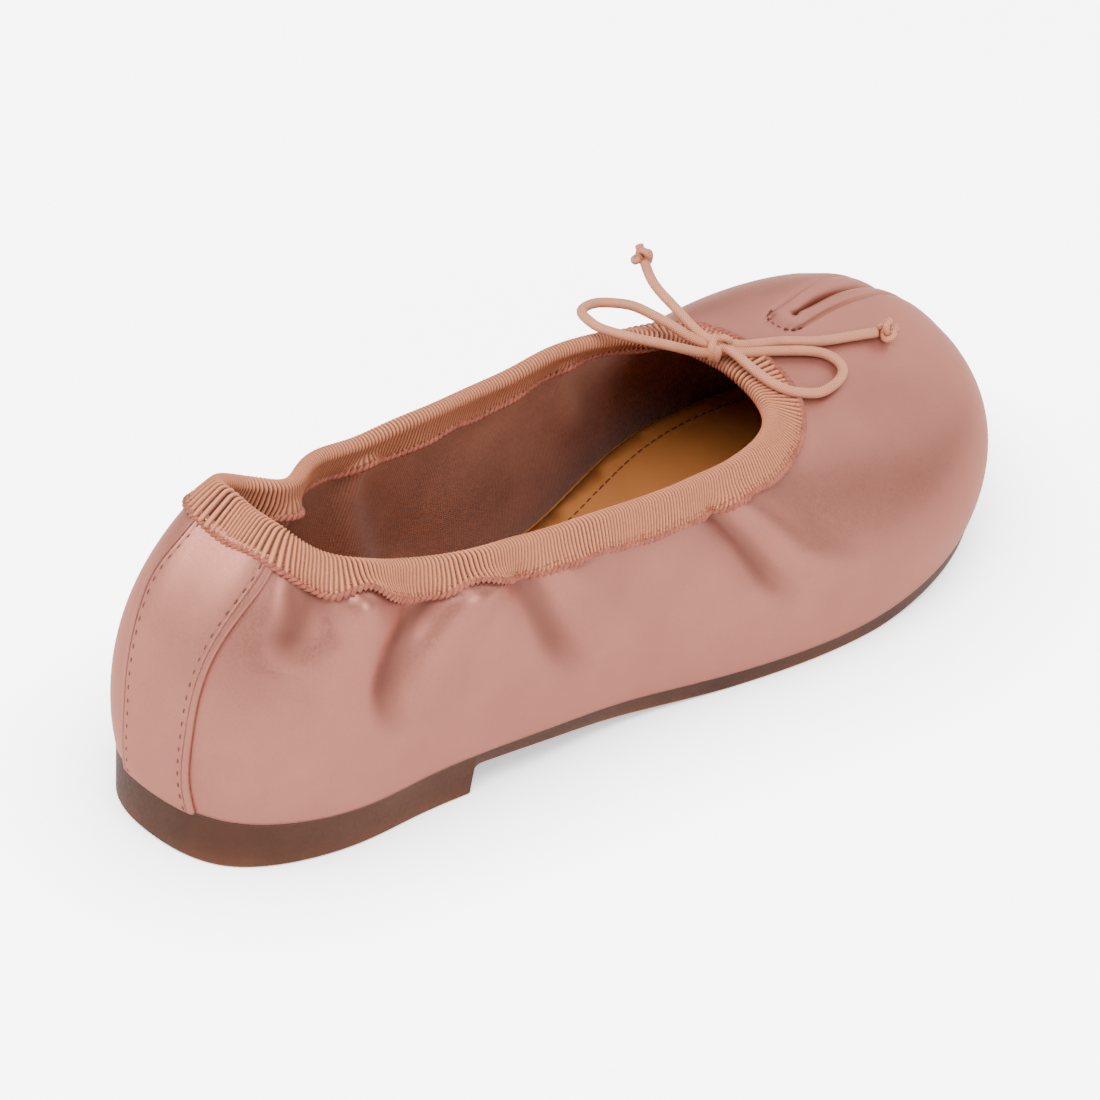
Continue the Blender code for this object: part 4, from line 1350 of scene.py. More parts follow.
@dataclass
class Upper:
    """Satin upper with its lining: one closed wall, open at the collar and underneath."""

    wall: Wall
    face_rows: int = 88
    lining_rows: int = 40
    margin_height: float = 1.3
    toe_stitch_gap: float = 0.15
    toe_stitch_arc: float = 0.95
    toe_stitch_rise: float = -0.05
    toe_stitch_spots: int = 24
    toe_stitches: Stitching = Stitching(1.7, 1.2, 0.5, SHADED_SEAM_THREAD, 0.14, 0.3)
    side_seam_span: tuple = (0.02, 0.82)
    side_seam_rise: float = -0.18
    side_seam_spots: int = 60
    side_stitches: Stitching = Stitching(1.7, 1.3, 0.24, SHADED_SEAM_THREAD, 0.02, 0.08)

    def build(self) -> Piece:
        """The wall from its margin up the outside, over the rim and down the lining."""
        wall, drape = self.wall, self.wall.drape
        rows, low = np.linspace(0, 1, self.face_rows), np.zeros(1)
        face = wall.lay(rows, 0.0, True)
        inside = wall.lay(np.linspace(1, 0, self.lining_rows + 1)[:-1], wall.thickness)
        tip, corner = wall.lay(low, wall.margin), wall.lay(low, wall.thickness)
        for places in (tip, corner, face[:, :1]):
            places[..., 2] = FEATHER(places[..., 0])
        lifted = (0, 0, self.margin_height)
        section = np.concatenate([tip, face, inside, corner + lifted, tip + lifted], 1)
        columns, count = section.shape[:2]
        climb = closed_climb(section, 10)
        girth = np.append(wall.girth, wall.girth[-1] + wall.step)
        slots = np.tile((np.arange(count) >= self.face_rows + 1).astype(int), columns)
        made = add_piece("satin_upper", section.reshape(-1, 3),
                         grid_faces(columns, count, True, True),
                         grid_uv(columns, count, girth, climb, True, True), (SATIN, LINING), slots)
        # Mask of the painted shade in the satin's colour, on the outside rows only.
        hollow = np.zeros((columns, count))
        hollow[:, 1:self.face_rows + 1] = drape.look(drape.hollow, wall.u[:, None], rows[None])
        keep_values(made.data, "hollow", hollow)
        return put_on(made, "rose_satin", "upper")

    def sew(self) -> None:
        """Stitches round the closed end of the toe split and down the side seam."""
        drape, wall = self.wall.drape, self.wall
        arc = self.toe_stitch_arc
        angle = np.linspace(-arc, arc, self.toe_stitch_spots) * math.pi / 2
        rib = drape.place(np.full_like(drape.v, wall.split), drape.v)
        beyond = np.linalg.norm(rib - wall.end, axis=1) * np.sign(drape.v - wall.end_v)
        radius = wall.band + self.toe_stitch_gap
        v = np.interp(radius * np.cos(angle), beyond, drape.v)
        pace = np.maximum(drape.look(drape.pace, np.full_like(v, wall.split), v), wall.floor_pace)
        u = wall.split + (radius * np.sin(angle) - wall.lean(v)) / pace
        line = drape.line(u, v, self.toe_stitch_rise)
        self.toe_stitches.put_down("toe_stitches", "rose_satin", [line])
        v = np.linspace(*self.side_seam_span, self.side_seam_spots)
        line = drape.line(np.full_like(v, wall.seam_u), v, self.side_seam_rise)
        self.side_stitches.put_down("side_seam_stitches", "rose_satin", [line])


@dataclass
class HeelStrip:
    """Raised satin strip up the back seam, stitched down both sides."""

    drape: Drape
    thickness: float = 0.95
    lift: float = 0.12
    under: float = 0.05
    top_drop: float = 5.5
    seam_inset: float = 2.4
    groove: float = 0.06
    groove_width: float = 0.36
    rows: int = 90
    height: float = 70.0
    rolled: tuple = ((0.9, 1.0), (0.945, 0.97), (0.975, 0.85), (0.993, 0.55), (1.0, 0.1))
    seam_columns: tuple = (0.075, 0.04, 0.02, 0.0, -0.02, -0.04, -0.075)
    outer_edge: tuple = ((0.0, 12.5), (0.12, 11.1), (0.24, 10.5), (0.35, 9.8), (0.46, 9.3),
                         (0.57, 9.7), (0.67, 10.8), (0.77, 12.0), (0.93, 12.6))
    inner_edge: tuple = ((0.0, 8.9), (0.12, 8.9), (0.22, 9.1), (0.33, 10.3), (0.45, 11.5),
                         (0.56, 12.2), (0.64, 12.2), (0.72, 11.3), (0.8, 10.2), (0.93, 9.4))
    flat_from: float = 0.85
    flat_columns: tuple = (0.62, 0.06, 9)
    stitches: Stitching = Stitching(3.0, 1.7, 0.52, SHADED_SEAM_THREAD, 0.06, 0.3)
    stitch_from: float = 0.015
    stitch_spots: int = 120
    stitch_dip: float = 0.04

    def __post_init__(self) -> None:
        """Find how far up the strip goes."""
        self.top = self.drape.at_drop(np.zeros(1), np.array([self.top_drop]))[0, 0]

    def across(self, v: Array, share: Array, inset: float = 0.0) -> Array:
        """Places round the shoe at a share of the strip's half width, less an inset."""
        pace = self.drape.look(self.drape.pace, np.zeros_like(v), v)
        outer, inner = (Spline(*zip(*edge))(v) for edge in (self.outer_edge, self.inner_edge))
        return share * (np.where(share > 0, outer, inner) - inset) / pace

    def build(self) -> Piece:
        """The strip's closed solid."""
        v, half_width = np.linspace(0, self.top, self.rows), self.outer_edge[0][1]
        seam = 1 - self.seam_inset / half_width
        edge, roll = np.array(self.rolled).T
        half = np.concatenate([edge[::-1], [self.flat_from], seam + np.array(self.seam_columns),
                               np.linspace(*self.flat_columns)])
        share = np.concatenate([-half, [0.0], half[::-1]])
        aside = np.abs(share)
        rise = self.lift + self.thickness * np.interp(aside, edge, roll) - self.groove * bell(
            (aside - seam) * half_width, self.groove_width)
        u = self.across(v[None], share[:, None])
        rows = np.broadcast_to(v, u.shape)
        outside = self.drape.place(u, rows, np.broadcast_to(rise[:, None], u.shape))
        below = self.drape.place(u, rows, np.full(u.shape, self.under))
        section = np.concatenate([outside, below[:, ::-1]], 1)
        columns, count = section.shape[:2]
        faces = list(grid_faces(columns, count, False, True))
        climb = np.concatenate([v, v[::-1], [0.0]]) * self.height
        uv = list(grid_uv(columns, count, share * half_width, climb, False, True))
        for first, hand in ((0, 1), ((columns - 1) * count, -1)):
            for k in range(self.rows - 1):
                ring = (first + k, first + k + 1, first + count - 2 - k, first + count - 1 - k)
                faces.append(ring[::hand])
                uv += [(0.0, 0.0)] * 4
        made = add_piece("heel_strip_satin", section.reshape(-1, 3), faces, uv, (SATIN,))
        return put_on(made, "rose_satin", "heel_strip")

    def sew(self) -> None:
        """Two rows of stitches, just inside the strip's edges."""
        v = np.linspace(self.stitch_from, self.top, self.stitch_spots)
        rise = self.thickness - self.stitch_dip
        self.stitches.put_down("heel_strip_stitches", "rose_satin", [
            self.drape.line(self.across(v, np.full_like(v, hand), self.seam_inset), v, rise)
            for hand in (-1, 1)])


@dataclass
class CollarTape:
    """Ribbed elastic tape folded over the collar, overlocked along both edges."""

    drape: Drape
    outer_drop: float = 7.4
    inner_drop: float = 6.6
    wall: float = 1.5
    gap: float = 0.2
    thickness: float = 0.85
    rib_pitch: float = 0.80
    run_spots: int = 4000
    rib_stretch: float = 0.52
    rib_height: float = 0.32
    rib_depth: tuple = (0.3, 0.75, 1.5)
    columns_per_rib: int = 5
    outer_lean: float = 0.225
    inner_lean: tuple = (0.3, 1.44)
    crest: float = 0.85
    crest_drop: float = 0.8
    crest_steps: int = 9
    near_crest: tuple = (0.05, 0.1)
    flap_steps: int = 8
    hidden_steps: int = 3
    edge_lip: float = 0.25
    edge_out: float = 0.1
    waves: tuple = ((0.35, 17, 1.0), (0.25, 29, 2.1))
    # Painted shade between the ribs: its share for each unit of rib depth, and its base.
    painted_rib_shade: tuple = (0.36, 0.1)
    stretches: tuple = STRETCHES
    loops: Stitching = Stitching(1.5, 2.0, 1.15, EDGE_THREAD, 0.3, 0.2, 32)
    loops_out: float = 0.75
    inner_loops: tuple = (0.1, 0.05)
    seam: Stitching = Stitching(2.4, 1.7, 0.26, EDGE_THREAD, 0.02, 0.25)
    seam_up: float = 1.3
    seam_out: float = 0.15
    seam_spots: int = 900

    def __post_init__(self) -> None:
        """Find how far the tape's face stands from the upper."""
        self.far = self.gap + self.thickness

    def edges(self, run: Array) -> tuple[Array, Array]:
        """Drop of the outer edge, less where the tape is stretched, and of the inner one."""
        narrower = self.stretched(run, "narrower")
        return (self.outer_drop - narrower + 0.5 * self.edge_wave(run, 1),
                self.inner_drop + self.edge_wave(run, 2))

    def edge_wave(self, run: Array, side: int) -> Array:
        """Small unevenness of the tape's free edges."""
        turn = 2 * math.pi * run / self.drape.run[-1]
        return sum(size * np.sin(count * turn + start * side) for size, count, start in self.waves)

    def stretched(self, run: Array, what: str = "size") -> Array:
        """Sum of one value of the stretches: how far the ribs stand apart, or the narrowing."""
        away = np.abs(run[:, None] - [s.run for s in self.stretches])
        away = np.minimum(away, self.drape.run[-1] - away)
        sizes = np.array([getattr(s, what) for s in self.stretches])
        return (sizes * bell(away, np.array([s.span for s in self.stretches]))).sum(1)

    def rib_spots(self) -> tuple[Array, Array]:
        """Turns of the ribs and the run at each column of places."""
        run = np.linspace(0, self.drape.run[-1], self.run_spots)
        pitch = self.rib_pitch + self.rib_stretch * self.stretched(run)
        turns = np.append(0.0, np.cumsum(np.diff(run) * 2 / (pitch[1:] + pitch[:-1])))
        ribs = int(round(turns[-1]))
        at = np.arange(ribs * self.columns_per_rib) / self.columns_per_rib
        return at, np.interp(at, turns * ribs / turns[-1], run)

    def flap(self, u: Array, drops: Array, offset: Array | float) -> Array:
        """Places over a flap at drops below the collar and offsets from the upper's outside."""
        v = self.drape.at_drop(u, drops)
        return self.drape.place(u[:, None], v, np.broadcast_to(offset, v.shape))

    def build(self) -> Piece:
        """The tape's closed channel with its ribs."""
        turns, run = self.rib_spots()
        u, opening = self.drape.at_run(run), self.stretched(run)[:, None]
        outer, inner = (drop[:, None] for drop in self.edges(run))
        share = np.linspace(1, self.near_crest[0], self.flap_steps)[None]
        hidden = np.linspace(self.near_crest[1], 1, self.hidden_steps)[None]
        lean = self.inner_lean[0] + self.inner_lean[1] * opening
        back = -self.wall - self.gap
        outside = self.flap(u, outer * share, self.far + self.outer_lean * opening * share)
        inside = self.flap(u, inner * share[:, ::-1],
                           -self.wall - self.far - lean * share[:, ::-1] ** 2)
        top, normal = self.drape.line(u, np.ones_like(u), 0.0)
        below = self.drape.at_drop(u, np.array([self.crest_drop]))[:, 0]
        up = top - self.drape.place(u, below)
        up /= np.linalg.norm(up, axis=1, keepdims=True)
        angle = np.linspace(0, math.pi, self.crest_steps)[None, :, None]
        radius = self.wall / 2 + self.far
        crest = ((top - normal * self.wall / 2)[:, None] + radius * (
            normal[:, None] * np.cos(angle) + self.crest * up[:, None] * np.sin(angle)))
        low_out = self.flap(u, outer + self.edge_lip, self.far / 2 + self.edge_out)
        low_in = self.flap(u, inner + self.edge_lip, -self.wall - self.far / 2 - lean)
        back_in = self.flap(u, inner * hidden[:, ::-1], back - lean * hidden[:, ::-1] ** 2)
        back_out = self.flap(u, outer * hidden, self.gap)
        section = np.concatenate([outside, crest, inside, low_in, back_in, back_out, low_out], 1)
        columns, count = section.shape[:2]
        climb = closed_climb(section, 50)
        plain = add_piece("plain_tape", section.reshape(-1, 3),
                          grid_faces(columns, count, True, True),
                          grid_uv(columns, count, np.append(run, self.drape.run[-1]), climb, True,
                                  True))
        shown = np.arange(count) < count - 2 * self.hidden_steps - 2
        low, more, most = self.rib_depth
        keep_values(plain.data, "turns", np.repeat(turns, count))
        keep_values(plain.data, "depth", np.clip(low + more * opening, 0, most) * shown)
        return put_on(self.ribbed(plain), "ribbed_tape", "collar_binding")

    def ribbed(self, plain: Piece) -> Piece:
        """Raise the ribs out of the plain tape."""
        growth = Growth("tape_ribs", {"Rib Height": self.rib_height * MM, "Material": TAPE.build()})
        bench, given = growth.start()
        turns, depth = (bench.put("GeometryNodeInputNamedAttribute", {"Name": name},
                                  data_type="FLOAT").outputs[0] for name in ("turns", "depth"))
        wave = bench.maths("COSINE", bench.maths("MULTIPLY", turns, 2 * math.pi))
        rise = bench.maths("MULTIPLY", bench.maths("MULTIPLY", wave, given["Rib Height"]), depth)
        normal = bench.put("GeometryNodeInputNormal").outputs[0]
        offset = bench.put("ShaderNodeVectorMath", {0: normal, "Scale": rise}, operation="SCALE")
        shape = bench.put("GeometryNodeSetPosition", {
            "Geometry": given["Geometry"], "Offset": offset.outputs[0]})
        # Painted shade: the rib value falls in the gaps between the ribs, the more where the tape
        # is stretched open; the tape's colour follows it.
        painted_shade = bench.maths("MULTIPLY_ADD", depth, *self.painted_rib_shade)
        rib = bench.maths("MULTIPLY_ADD", wave, painted_shade, 0.5)
        kept = bench.put("GeometryNodeStoreNamedAttribute", {
            "Geometry": shape.outputs[0], "Name": "rib", "Value": rib}, data_type="FLOAT",
            domain="POINT")
        growth.close(kept.outputs[0])
        return growth.grow(plain, "ribbed_collar_tape")

    def edge_line(self, u: Array, drop: Array, offset: Array | float, hand: int = 1) -> list[Array]:
        """A closed line over one flap, with its outward directions."""
        v = self.drape.at_drop(u, drop[:, None])[:, 0]
        line = self.drape.line(u, v, np.broadcast_to(offset, v.shape), hand)
        return [np.vstack([rows, rows[:1]]) for rows in line]

    def sew(self) -> None:
        """Overlock loops along both edges, and the seam above the outer one."""
        run = np.linspace(0, self.drape.run[-1], self.seam_spots, endpoint=False)
        u, (outer, inner) = self.drape.at_run(run), self.edges(run)
        lean = self.inner_lean[0] + self.inner_lean[1] * self.stretched(run)
        self.loops.put_down("overlock_loops", "ribbed_tape", [
            self.edge_line(u, outer + self.edge_lip, self.loops_out * self.far),
            self.edge_line(u, inner + self.inner_loops[0],
                           -self.wall - self.far - lean - self.inner_loops[1], -1)])
        self.seam.put_down("tape_seam_stitches", "ribbed_tape", [
            self.edge_line(u, outer - self.seam_up, self.far + self.seam_out)])


@dataclass
class Lid:
    """Triangles over a plan outline with a lattice of places inside it.

    The lattice keeps a share `clear` of its step away from the outline.
    """

    edge: Array
    step: float
    stations: tuple = ()
    clear: float = 0.45

    def build(self) -> tuple[Array, list]:
        """The inner places and the triangles, which number the outline's places first."""
        edge = self.edge
        low, high = edge.min(0), edge.max(0)
        along = np.arange(low[0] + self.step / 2, high[0], self.step)
        along = np.concatenate([along, self.stations])
        across = np.arange(low[1], high[1], self.step)
        lattice = np.stack(np.meshgrid(along, across, indexing="ij"), -1).reshape(-1, 2)
        run = np.roll(edge, -1, 0) - edge
        gap = lattice[:, None] - edge[None]
        share = np.clip((gap * run).sum(-1) / np.maximum((run ** 2).sum(-1), 1e-9), 0, 1)
        away = np.linalg.norm(gap - share[..., None] * run, axis=-1).min(1)
        lattice = lattice[away > self.step * self.clear]
        flat = [tuple(p) for p in np.vstack([edge, lattice])]
        ring = [(i, (i + 1) % len(edge)) for i in range(len(edge))]
        result = delaunay_2d_cdt(flat, ring, [], 1, 1e-6)
        numbers, inner = {}, []
        for index, group in enumerate(result[3]):
            if group[0] < len(edge):
                numbers[index] = group[0]
            else:
                numbers[index] = len(edge) + len(inner)
                inner.append(result[0][index][:])
        faces = []
        for face in result[2]:
            a, b, c = (result[0][k] for k in face)
            turn = (b[0] - a[0]) * (c[1] - a[1]) - (b[1] - a[1]) * (c[0] - a[0])
            faces.append([numbers[k] for k in (face if turn < 0 else reversed(face))])
        return np.array(inner), faces


def slab(rings: Sequence[Array], low: Lid, low_height: object, high: Lid, high_height: object
         ) -> tuple[Array, list]:
    """Solid between a lower and an upper lid with rings up its edge.

    Args:
        rings: Rings of places from the lower edge to the upper one.
        low: Lid over the lower edge, seen from below.
        low_height: Height of the lower lid's places from their along and across.
        high: Lid over the upper edge.
        high_height: Height of the upper lid's places.

    Returns:
        Places and faces.
    """
    size = len(rings[0])
    places = [np.asarray(ring) for ring in rings]
    faces = list(grid_faces(len(rings), size, False, True))
    first = size * len(rings)
    for lid, height, start, flip in ((low, low_height, 0, True),
                                     (high, high_height, size * (len(rings) - 1), False)):
        inner, triangles = lid.build()
        places.append(np.column_stack([inner, height(inner[:, 0], inner[:, 1])]))
        for triangle in triangles:
            corners = [k + start if k < size else k - size + first for k in triangle]
            faces.append(corners[::-1] if flip else corners)
        first += len(inner)
    return np.vstack(places), faces


@dataclass
class Outsole:
    """Moulded sole in one with its low heel."""

    wall: Wall
    breast: float = 68.0
    fillet: float = 2.5
    waist_edge: float = 3.9
    forepart_edge: float = 5.0
    waist_run: float = 50.0
    fit: float = 0.12
    draft: float = 0.9
    corner: float = 0.8
    near_breast: tuple = (-0.5, 0.0, 0.05, 0.4, 0.8, 1.5, 2.5)
    near_corner: float = 0.02
    corner_steps: int = 6
    side_steps: tuple = (0.25, 0.5, 0.75, 0.94)
    tread_step: float = 3.5
    hidden_step: float = 9.0
    # Shares of the painted bounce light: on the tread, the lower corner, the edge and up the side.
    tread_bounce: float = 0.35
    corner_bounce: float = 0.9
    edge_bounce: float = 0.25
    side_bounce: tuple = (0.22, 0.6)

    def tread(self, along: Array, across: Array | float = 0.0) -> Array:
        """Height of the underside."""
        blend = np.clip((along - self.breast) / self.waist_run, 0, 1)
        edge = self.waist_edge + (self.forepart_edge - self.waist_edge) * blend
        arch = np.maximum(FEATHER(along) - edge, 0)
        run = np.clip((along - self.breast) / self.fillet, 0, 1)
        fillet = self.fillet * (1 - np.sqrt(1 - (1 - run) ** 2))
        return np.where(along <= self.breast, 0.0, np.maximum(arch - fillet, 0))

    def top(self, along: Array, across: Array | float = 0.0) -> Array:
        """Height of the hidden top face."""
        return FEATHER(along) - self.fit

    def stations(self) -> tuple:
        """Stations across the heel's breast."""
        return tuple(self.breast + past for past in self.near_breast)

    def outlines(self, *insets: float) -> list[Array]:
        """Outlines at some insets, with close places across the breast."""
        rings = [self.wall.outline(inset) for inset in insets]
        along, nxt = rings[0][:, 0], np.roll(rings[0][:, 0], -1)
        marks = []
        for k, (start, end) in enumerate(zip(along, nxt)):
            marks.append((k, 0.0))
            shares = [(s - start) / (end - start) for s in self.stations()
                      if min(start, end) + self.near_corner < s
                      < max(start, end) - self.near_corner]
            marks += [(k, share) for share in sorted(shares)]
        index, share = np.array([m[0] for m in marks]), np.array([m[1] for m in marks])[:, None]
        return [ring[index] + share * (np.roll(ring, -1, 0)[index] - ring[index])
                for ring in rings]

    def build(self) -> Piece:
        """The sole's closed solid, with its lower corner marked for painted bounce light from the
        floor.
        """
        foot, edge, seat = self.outlines(self.draft + self.corner, self.draft, self.fit)
        rings, rubbed = [], []
        bottom, top = self.tread(edge[:, 0]), self.top(seat[:, 0])
        for angle in np.linspace(0, math.pi / 2, self.corner_steps):
            plan = foot + (edge - foot) * math.sin(angle)
            rings.append(np.column_stack([plan, bottom + self.corner * (1 - math.cos(angle))]))
            rubbed.append(self.corner_bounce * math.cos(angle) ** 0.5)
        rubbed[-1] = self.edge_bounce
        for share in self.side_steps:
            plan = edge + (seat - edge) * share
            height = (bottom + self.corner) * (1 - share) + top * share
            rings.append(np.column_stack([plan, height]))
            rubbed.append(max(0.0, self.side_bounce[0] - share * self.side_bounce[1]))
        rings.append(np.column_stack([seat, top]))
        rubbed.append(0.0)
        low = Lid(rings[0][:, :2], self.tread_step, self.stations())
        high = Lid(rings[-1][:, :2], self.hidden_step)
        places, faces = slab(rings, low, self.tread, high, self.top)
        made = add_piece("moulded_sole", places, faces, finishes=(MOULDING,))
        # Painted bounce light: the rings of the lower corner carry the largest shares.
        marks = np.full(len(places), self.tread_bounce)
        marks[:len(foot) * len(rings)] = np.repeat(rubbed, len(foot))
        keep_values(made.data, "rubbed", marks)
        return put_on(made, "brown_sole", "outsole")


@dataclass
class Insole:
    """Tan leather sock with one row of stitches near its edge."""

    wall: Wall
    inset: float = 2.2
    lift: float = 1.6
    thickness: float = 1.6
    seam_inset: float = 7.6
    cushion: float = 0.9
    cup: float = 6.5
    cup_from: float = 9.0
    cup_run: float = 24.0
    cup_along: tuple = (172.0, 34.0)
    rolled: tuple = ((0.0, 1.6), (0.0, 0.5), (0.2, 0.22), (0.5, 0.07), (1.0, 0.0))
    rolled_run: float = 0.9
    steps: tuple = (9.0, 4.0)
    stitch_rise: float = 0.02
    stitches: Stitching = Stitching(2.6, 1.9, 0.42, SOCK_THREAD, 0.05, 0.25)

    def height(self, along: Array, across: Array | float = 0.0) -> Array:
        """Height of the sock's top, which turns up along the inner side of the ball."""
        turned_up = self.cup * smooth((-across - self.cup_from) / self.cup_run) * bell(
            along - self.cup_along[0], self.cup_along[1])
        return FEATHER(along) + self.lift + self.thickness + self.cushion + turned_up

    def build(self) -> Piece:
        """The sock with its rounded edge."""
        outer, inner = (self.wall.outline(self.inset + more) for more in (0.0, self.rolled_run))
        rings = []
        for share, drop in self.rolled:
            plan = outer + (inner - outer) * share
            rings.append(np.column_stack([plan, self.height(plan[:, 0], plan[:, 1]) - drop]))
        low, high = (Lid(ring[:, :2], step) for ring, step in zip(rings[::len(rings) - 1],
                                                                  self.steps))
        places, faces = slab(rings, low, lambda a, b: self.height(a, b) - self.thickness, high,
                             self.height)
        return put_on(add_piece("sock", places, faces, finishes=(SOCK,)), "tan_sock_leather",
                      "insole")

    def sew(self) -> None:
        """Stitches round the sock."""
        plan = self.wall.outline(self.seam_inset)[~self.wall.split_column]
        plan = np.vstack([plan, plan[:1]])
        height = self.height(plan[:, 0], plan[:, 1]) + self.stitch_rise
        places = np.column_stack([plan, height])
        self.stitches.put_down("sock_stitches", "tan_sock_leather", [
            (places, np.tile((0.0, 0.0, 1.0), (len(places), 1)))])


@dataclass
class Bow:
    """Cord bow at the throat: two loops, two tails with end knots and the wrap between them."""

    diameter: float = 2.3
    centre: tuple = (167.9, -7.2, 57.0)
    loop_inner: tuple = (
        (167.4, -7.7, 57.9), (163.1, -10.7, 60.0), (160.8, -14.7, 61.8), (158.8, -18.9, 63.0),
        (156.7, -23.0, 63.8), (153.8, -26.0, 64.0), (150.6, -28.2, 64.0), (147.3, -28.5, 64.0),
        (145.4, -27.6, 64.0), (144.5, -25.1, 64.0), (144.6, -21.2, 63.8), (146.8, -17.3, 63.4),
        (150.3, -13.6, 62.6), (154.8, -10.7, 61.2), (159.8, -8.3, 59.2), (164.4, -7.2, 57.2),
        (167.0, -7.2, 56.2))
    loop_outer: tuple = (
        (168.4, -6.8, 56.6), (172.8, -3.9, 55.9), (178.8, -1.6, 55.1), (185.0, 1.8, 54.8),
        (189.5, 4.7, 54.2), (191.5, 7.6, 53.4), (191.5, 10.3, 52.5), (189.1, 12.3, 51.8),
        (185.3, 13.3, 51.5), (180.9, 13.4, 51.6), (177.8, 12.1, 52.1), (174.2, 10.8, 53.4),
        (172.0, 8.0, 54.4), (170.9, 4.1, 55.4), (170.2, -0.3, 56.6), (169.5, -4.1, 57.6),
        (168.4, -6.4, 57.7))
    tails: tuple = (
        (166.9, -30.4, 67.5), (165.4, -26.2, 65.6), (164.9, -21.7, 64.2), (165.1, -18.1, 63.0),
        (165.2, -14.2, 61.6), (165.5, -10.7, 60.4), (166.6, -8.4, 59.3), (168.4, -7.1, 58.4),
        (171.3, -6.3, 57.2), (176.5, -4.4, 56.2), (184.1, -2.1, 55.4), (190.3, 1.3, 54.9),
        (198.0, 3.4, 54.1), (204.3, 4.5, 53.3), (207.2, 5.1, 53.0))
    tail_knots: tuple = ((167.4, -31.6, 68.1), (209.9, 5.8, 52.9))
    cord_step: float = 0.8
    cord_sides: int = 16
    way: tuple = (0.717, 0.697, 0.0)
    wrap_turns: tuple = (-0.6, 2 * math.pi * 1.12)
    wrap_radii: tuple = (2.0, 2.3)
    wrap_width: float = 1.5
    wrap_cord: float = 1.05
    wrap_steps: int = 90
    wrap_sides: int = 14
    ears: tuple = ((0.2, -0.6, 1.4), (0.5, 0.2, 2.7), (1.7, 0.5, 3.3), (2.9, 0.2, 2.6),
                   (2.9, -0.9, 1.4), (1.4, -1.6, 0.6))
    ears_cord: float = 0.8
    ears_step: float = 0.5
    knot_turn: float = 0.72
    knot_gap: float = 0.35
    knot_flat: float = 1.2
    knot_cord: float = 0.82
    knot_steps: int = 60
    fine_sides: int = 12
    stub: tuple = (0.4, 2.9)
    frayed: tuple = (0.8, 1.05)
    stub_steps: int = 6

    def end_knot(self, name: str, centre: Array, towards: Array) -> Piece:
        """Overhand knot at the end of a tail, with its cut end."""
        t = np.linspace(self.knot_gap, 2 * math.pi - self.knot_gap, self.knot_steps)
        ring = np.stack([-np.sin(3 * t) * self.knot_flat, np.sin(t) + 2 * np.sin(2 * t),
                         np.cos(t) - 2 * np.cos(2 * t)], -1) * self.knot_turn
        axis = towards / np.linalg.norm(towards)
        side = np.cross(axis, (0.0, 0.0, 1.0))
        side /= np.linalg.norm(side)
        path = ring @ np.stack([axis, side, np.cross(axis, side)]) + centre
        stub = centre + axis * np.linspace(*self.stub, self.stub_steps)[:, None]
        frayed = np.linspace(*self.frayed, self.stub_steps)
        return add_piece(name, *joined([tube(path, self.knot_cord, self.fine_sides),
                                        tube(stub, frayed, self.fine_sides)]), (BRAID,))

    def wrap(self) -> Piece:
        """Turns of cord round the middle of the bow."""
        middle, way, up = np.array(self.centre), np.array(self.way), np.array((0.0, 0.0, 1.0))
        near = np.array((-way[1], way[0], 0.0))
        turn = np.linspace(*self.wrap_turns, self.wrap_steps)
        drift = (turn / turn[-1] - 0.5) * self.wrap_width
        path = (middle + drift[:, None] * way
                + self.wrap_radii[0] * np.cos(turn)[:, None] * near
                + self.wrap_radii[1] * np.sin(turn)[:, None] * up)
        ears = smooth_path([middle + a * way + b * near + c * up for a, b, c in self.ears],
                           self.ears_step)
        made = add_piece("bow_wrap", *joined([
            tube(path, self.wrap_cord, self.wrap_sides),
            tube(ears, self.ears_cord, self.fine_sides)]), (BRAID,))
        return put_on(made, "peach_cord", "bow_knot")

    def build(self) -> None:
        """Make the bow: its cords, end knots and wrap."""
        wrap = self.wrap()
        knots = []
        for name, place, near in (("inner", self.tail_knots[0], self.tails[0]),
                                  ("outer", self.tail_knots[1], self.tails[-1])):
            made = self.end_knot(name + "_end_knot", np.array(place),
                                 np.array(place) - np.array(near))
            knots.append(put_on(made, "peach_cord", "tail_knot_" + name))
        exit_place = tuple(to_world(np.array(self.centre)))
        for name, route, end, pieces, nodes in (
                ("bow_loop_inner_cord", self.loop_inner, "object", [], ("bow_loop_inner",)),
                ("bow_loop_outer_cord", self.loop_outer, "object", [], ("bow_loop_outer",)),
                ("bow_tails_cord", self.tails, "knot", [*knots, wrap],
                 ("bow_tail_inner", "bow_tail_outer"))):
            path = smooth_path(route, self.cord_step)
            made = add_piece(name, *tube(path, self.diameter / 2, self.cord_sides), (BRAID,))
            put_on(made, "peach_cord", *nodes)
            float(run_along(path)[-1]) * MM
            [tuple(p) for p in to_world(path[::2])]
            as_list(pieces)


# ---------------------------------------------------------------------------------------------
# Studio
# ---------------------------------------------------------------------------------------------


@dataclass(frozen=True)
class SoftBox:
    """One soft light."""

    name: str
    place: tuple
    aim: tuple
    size: float
    power: float


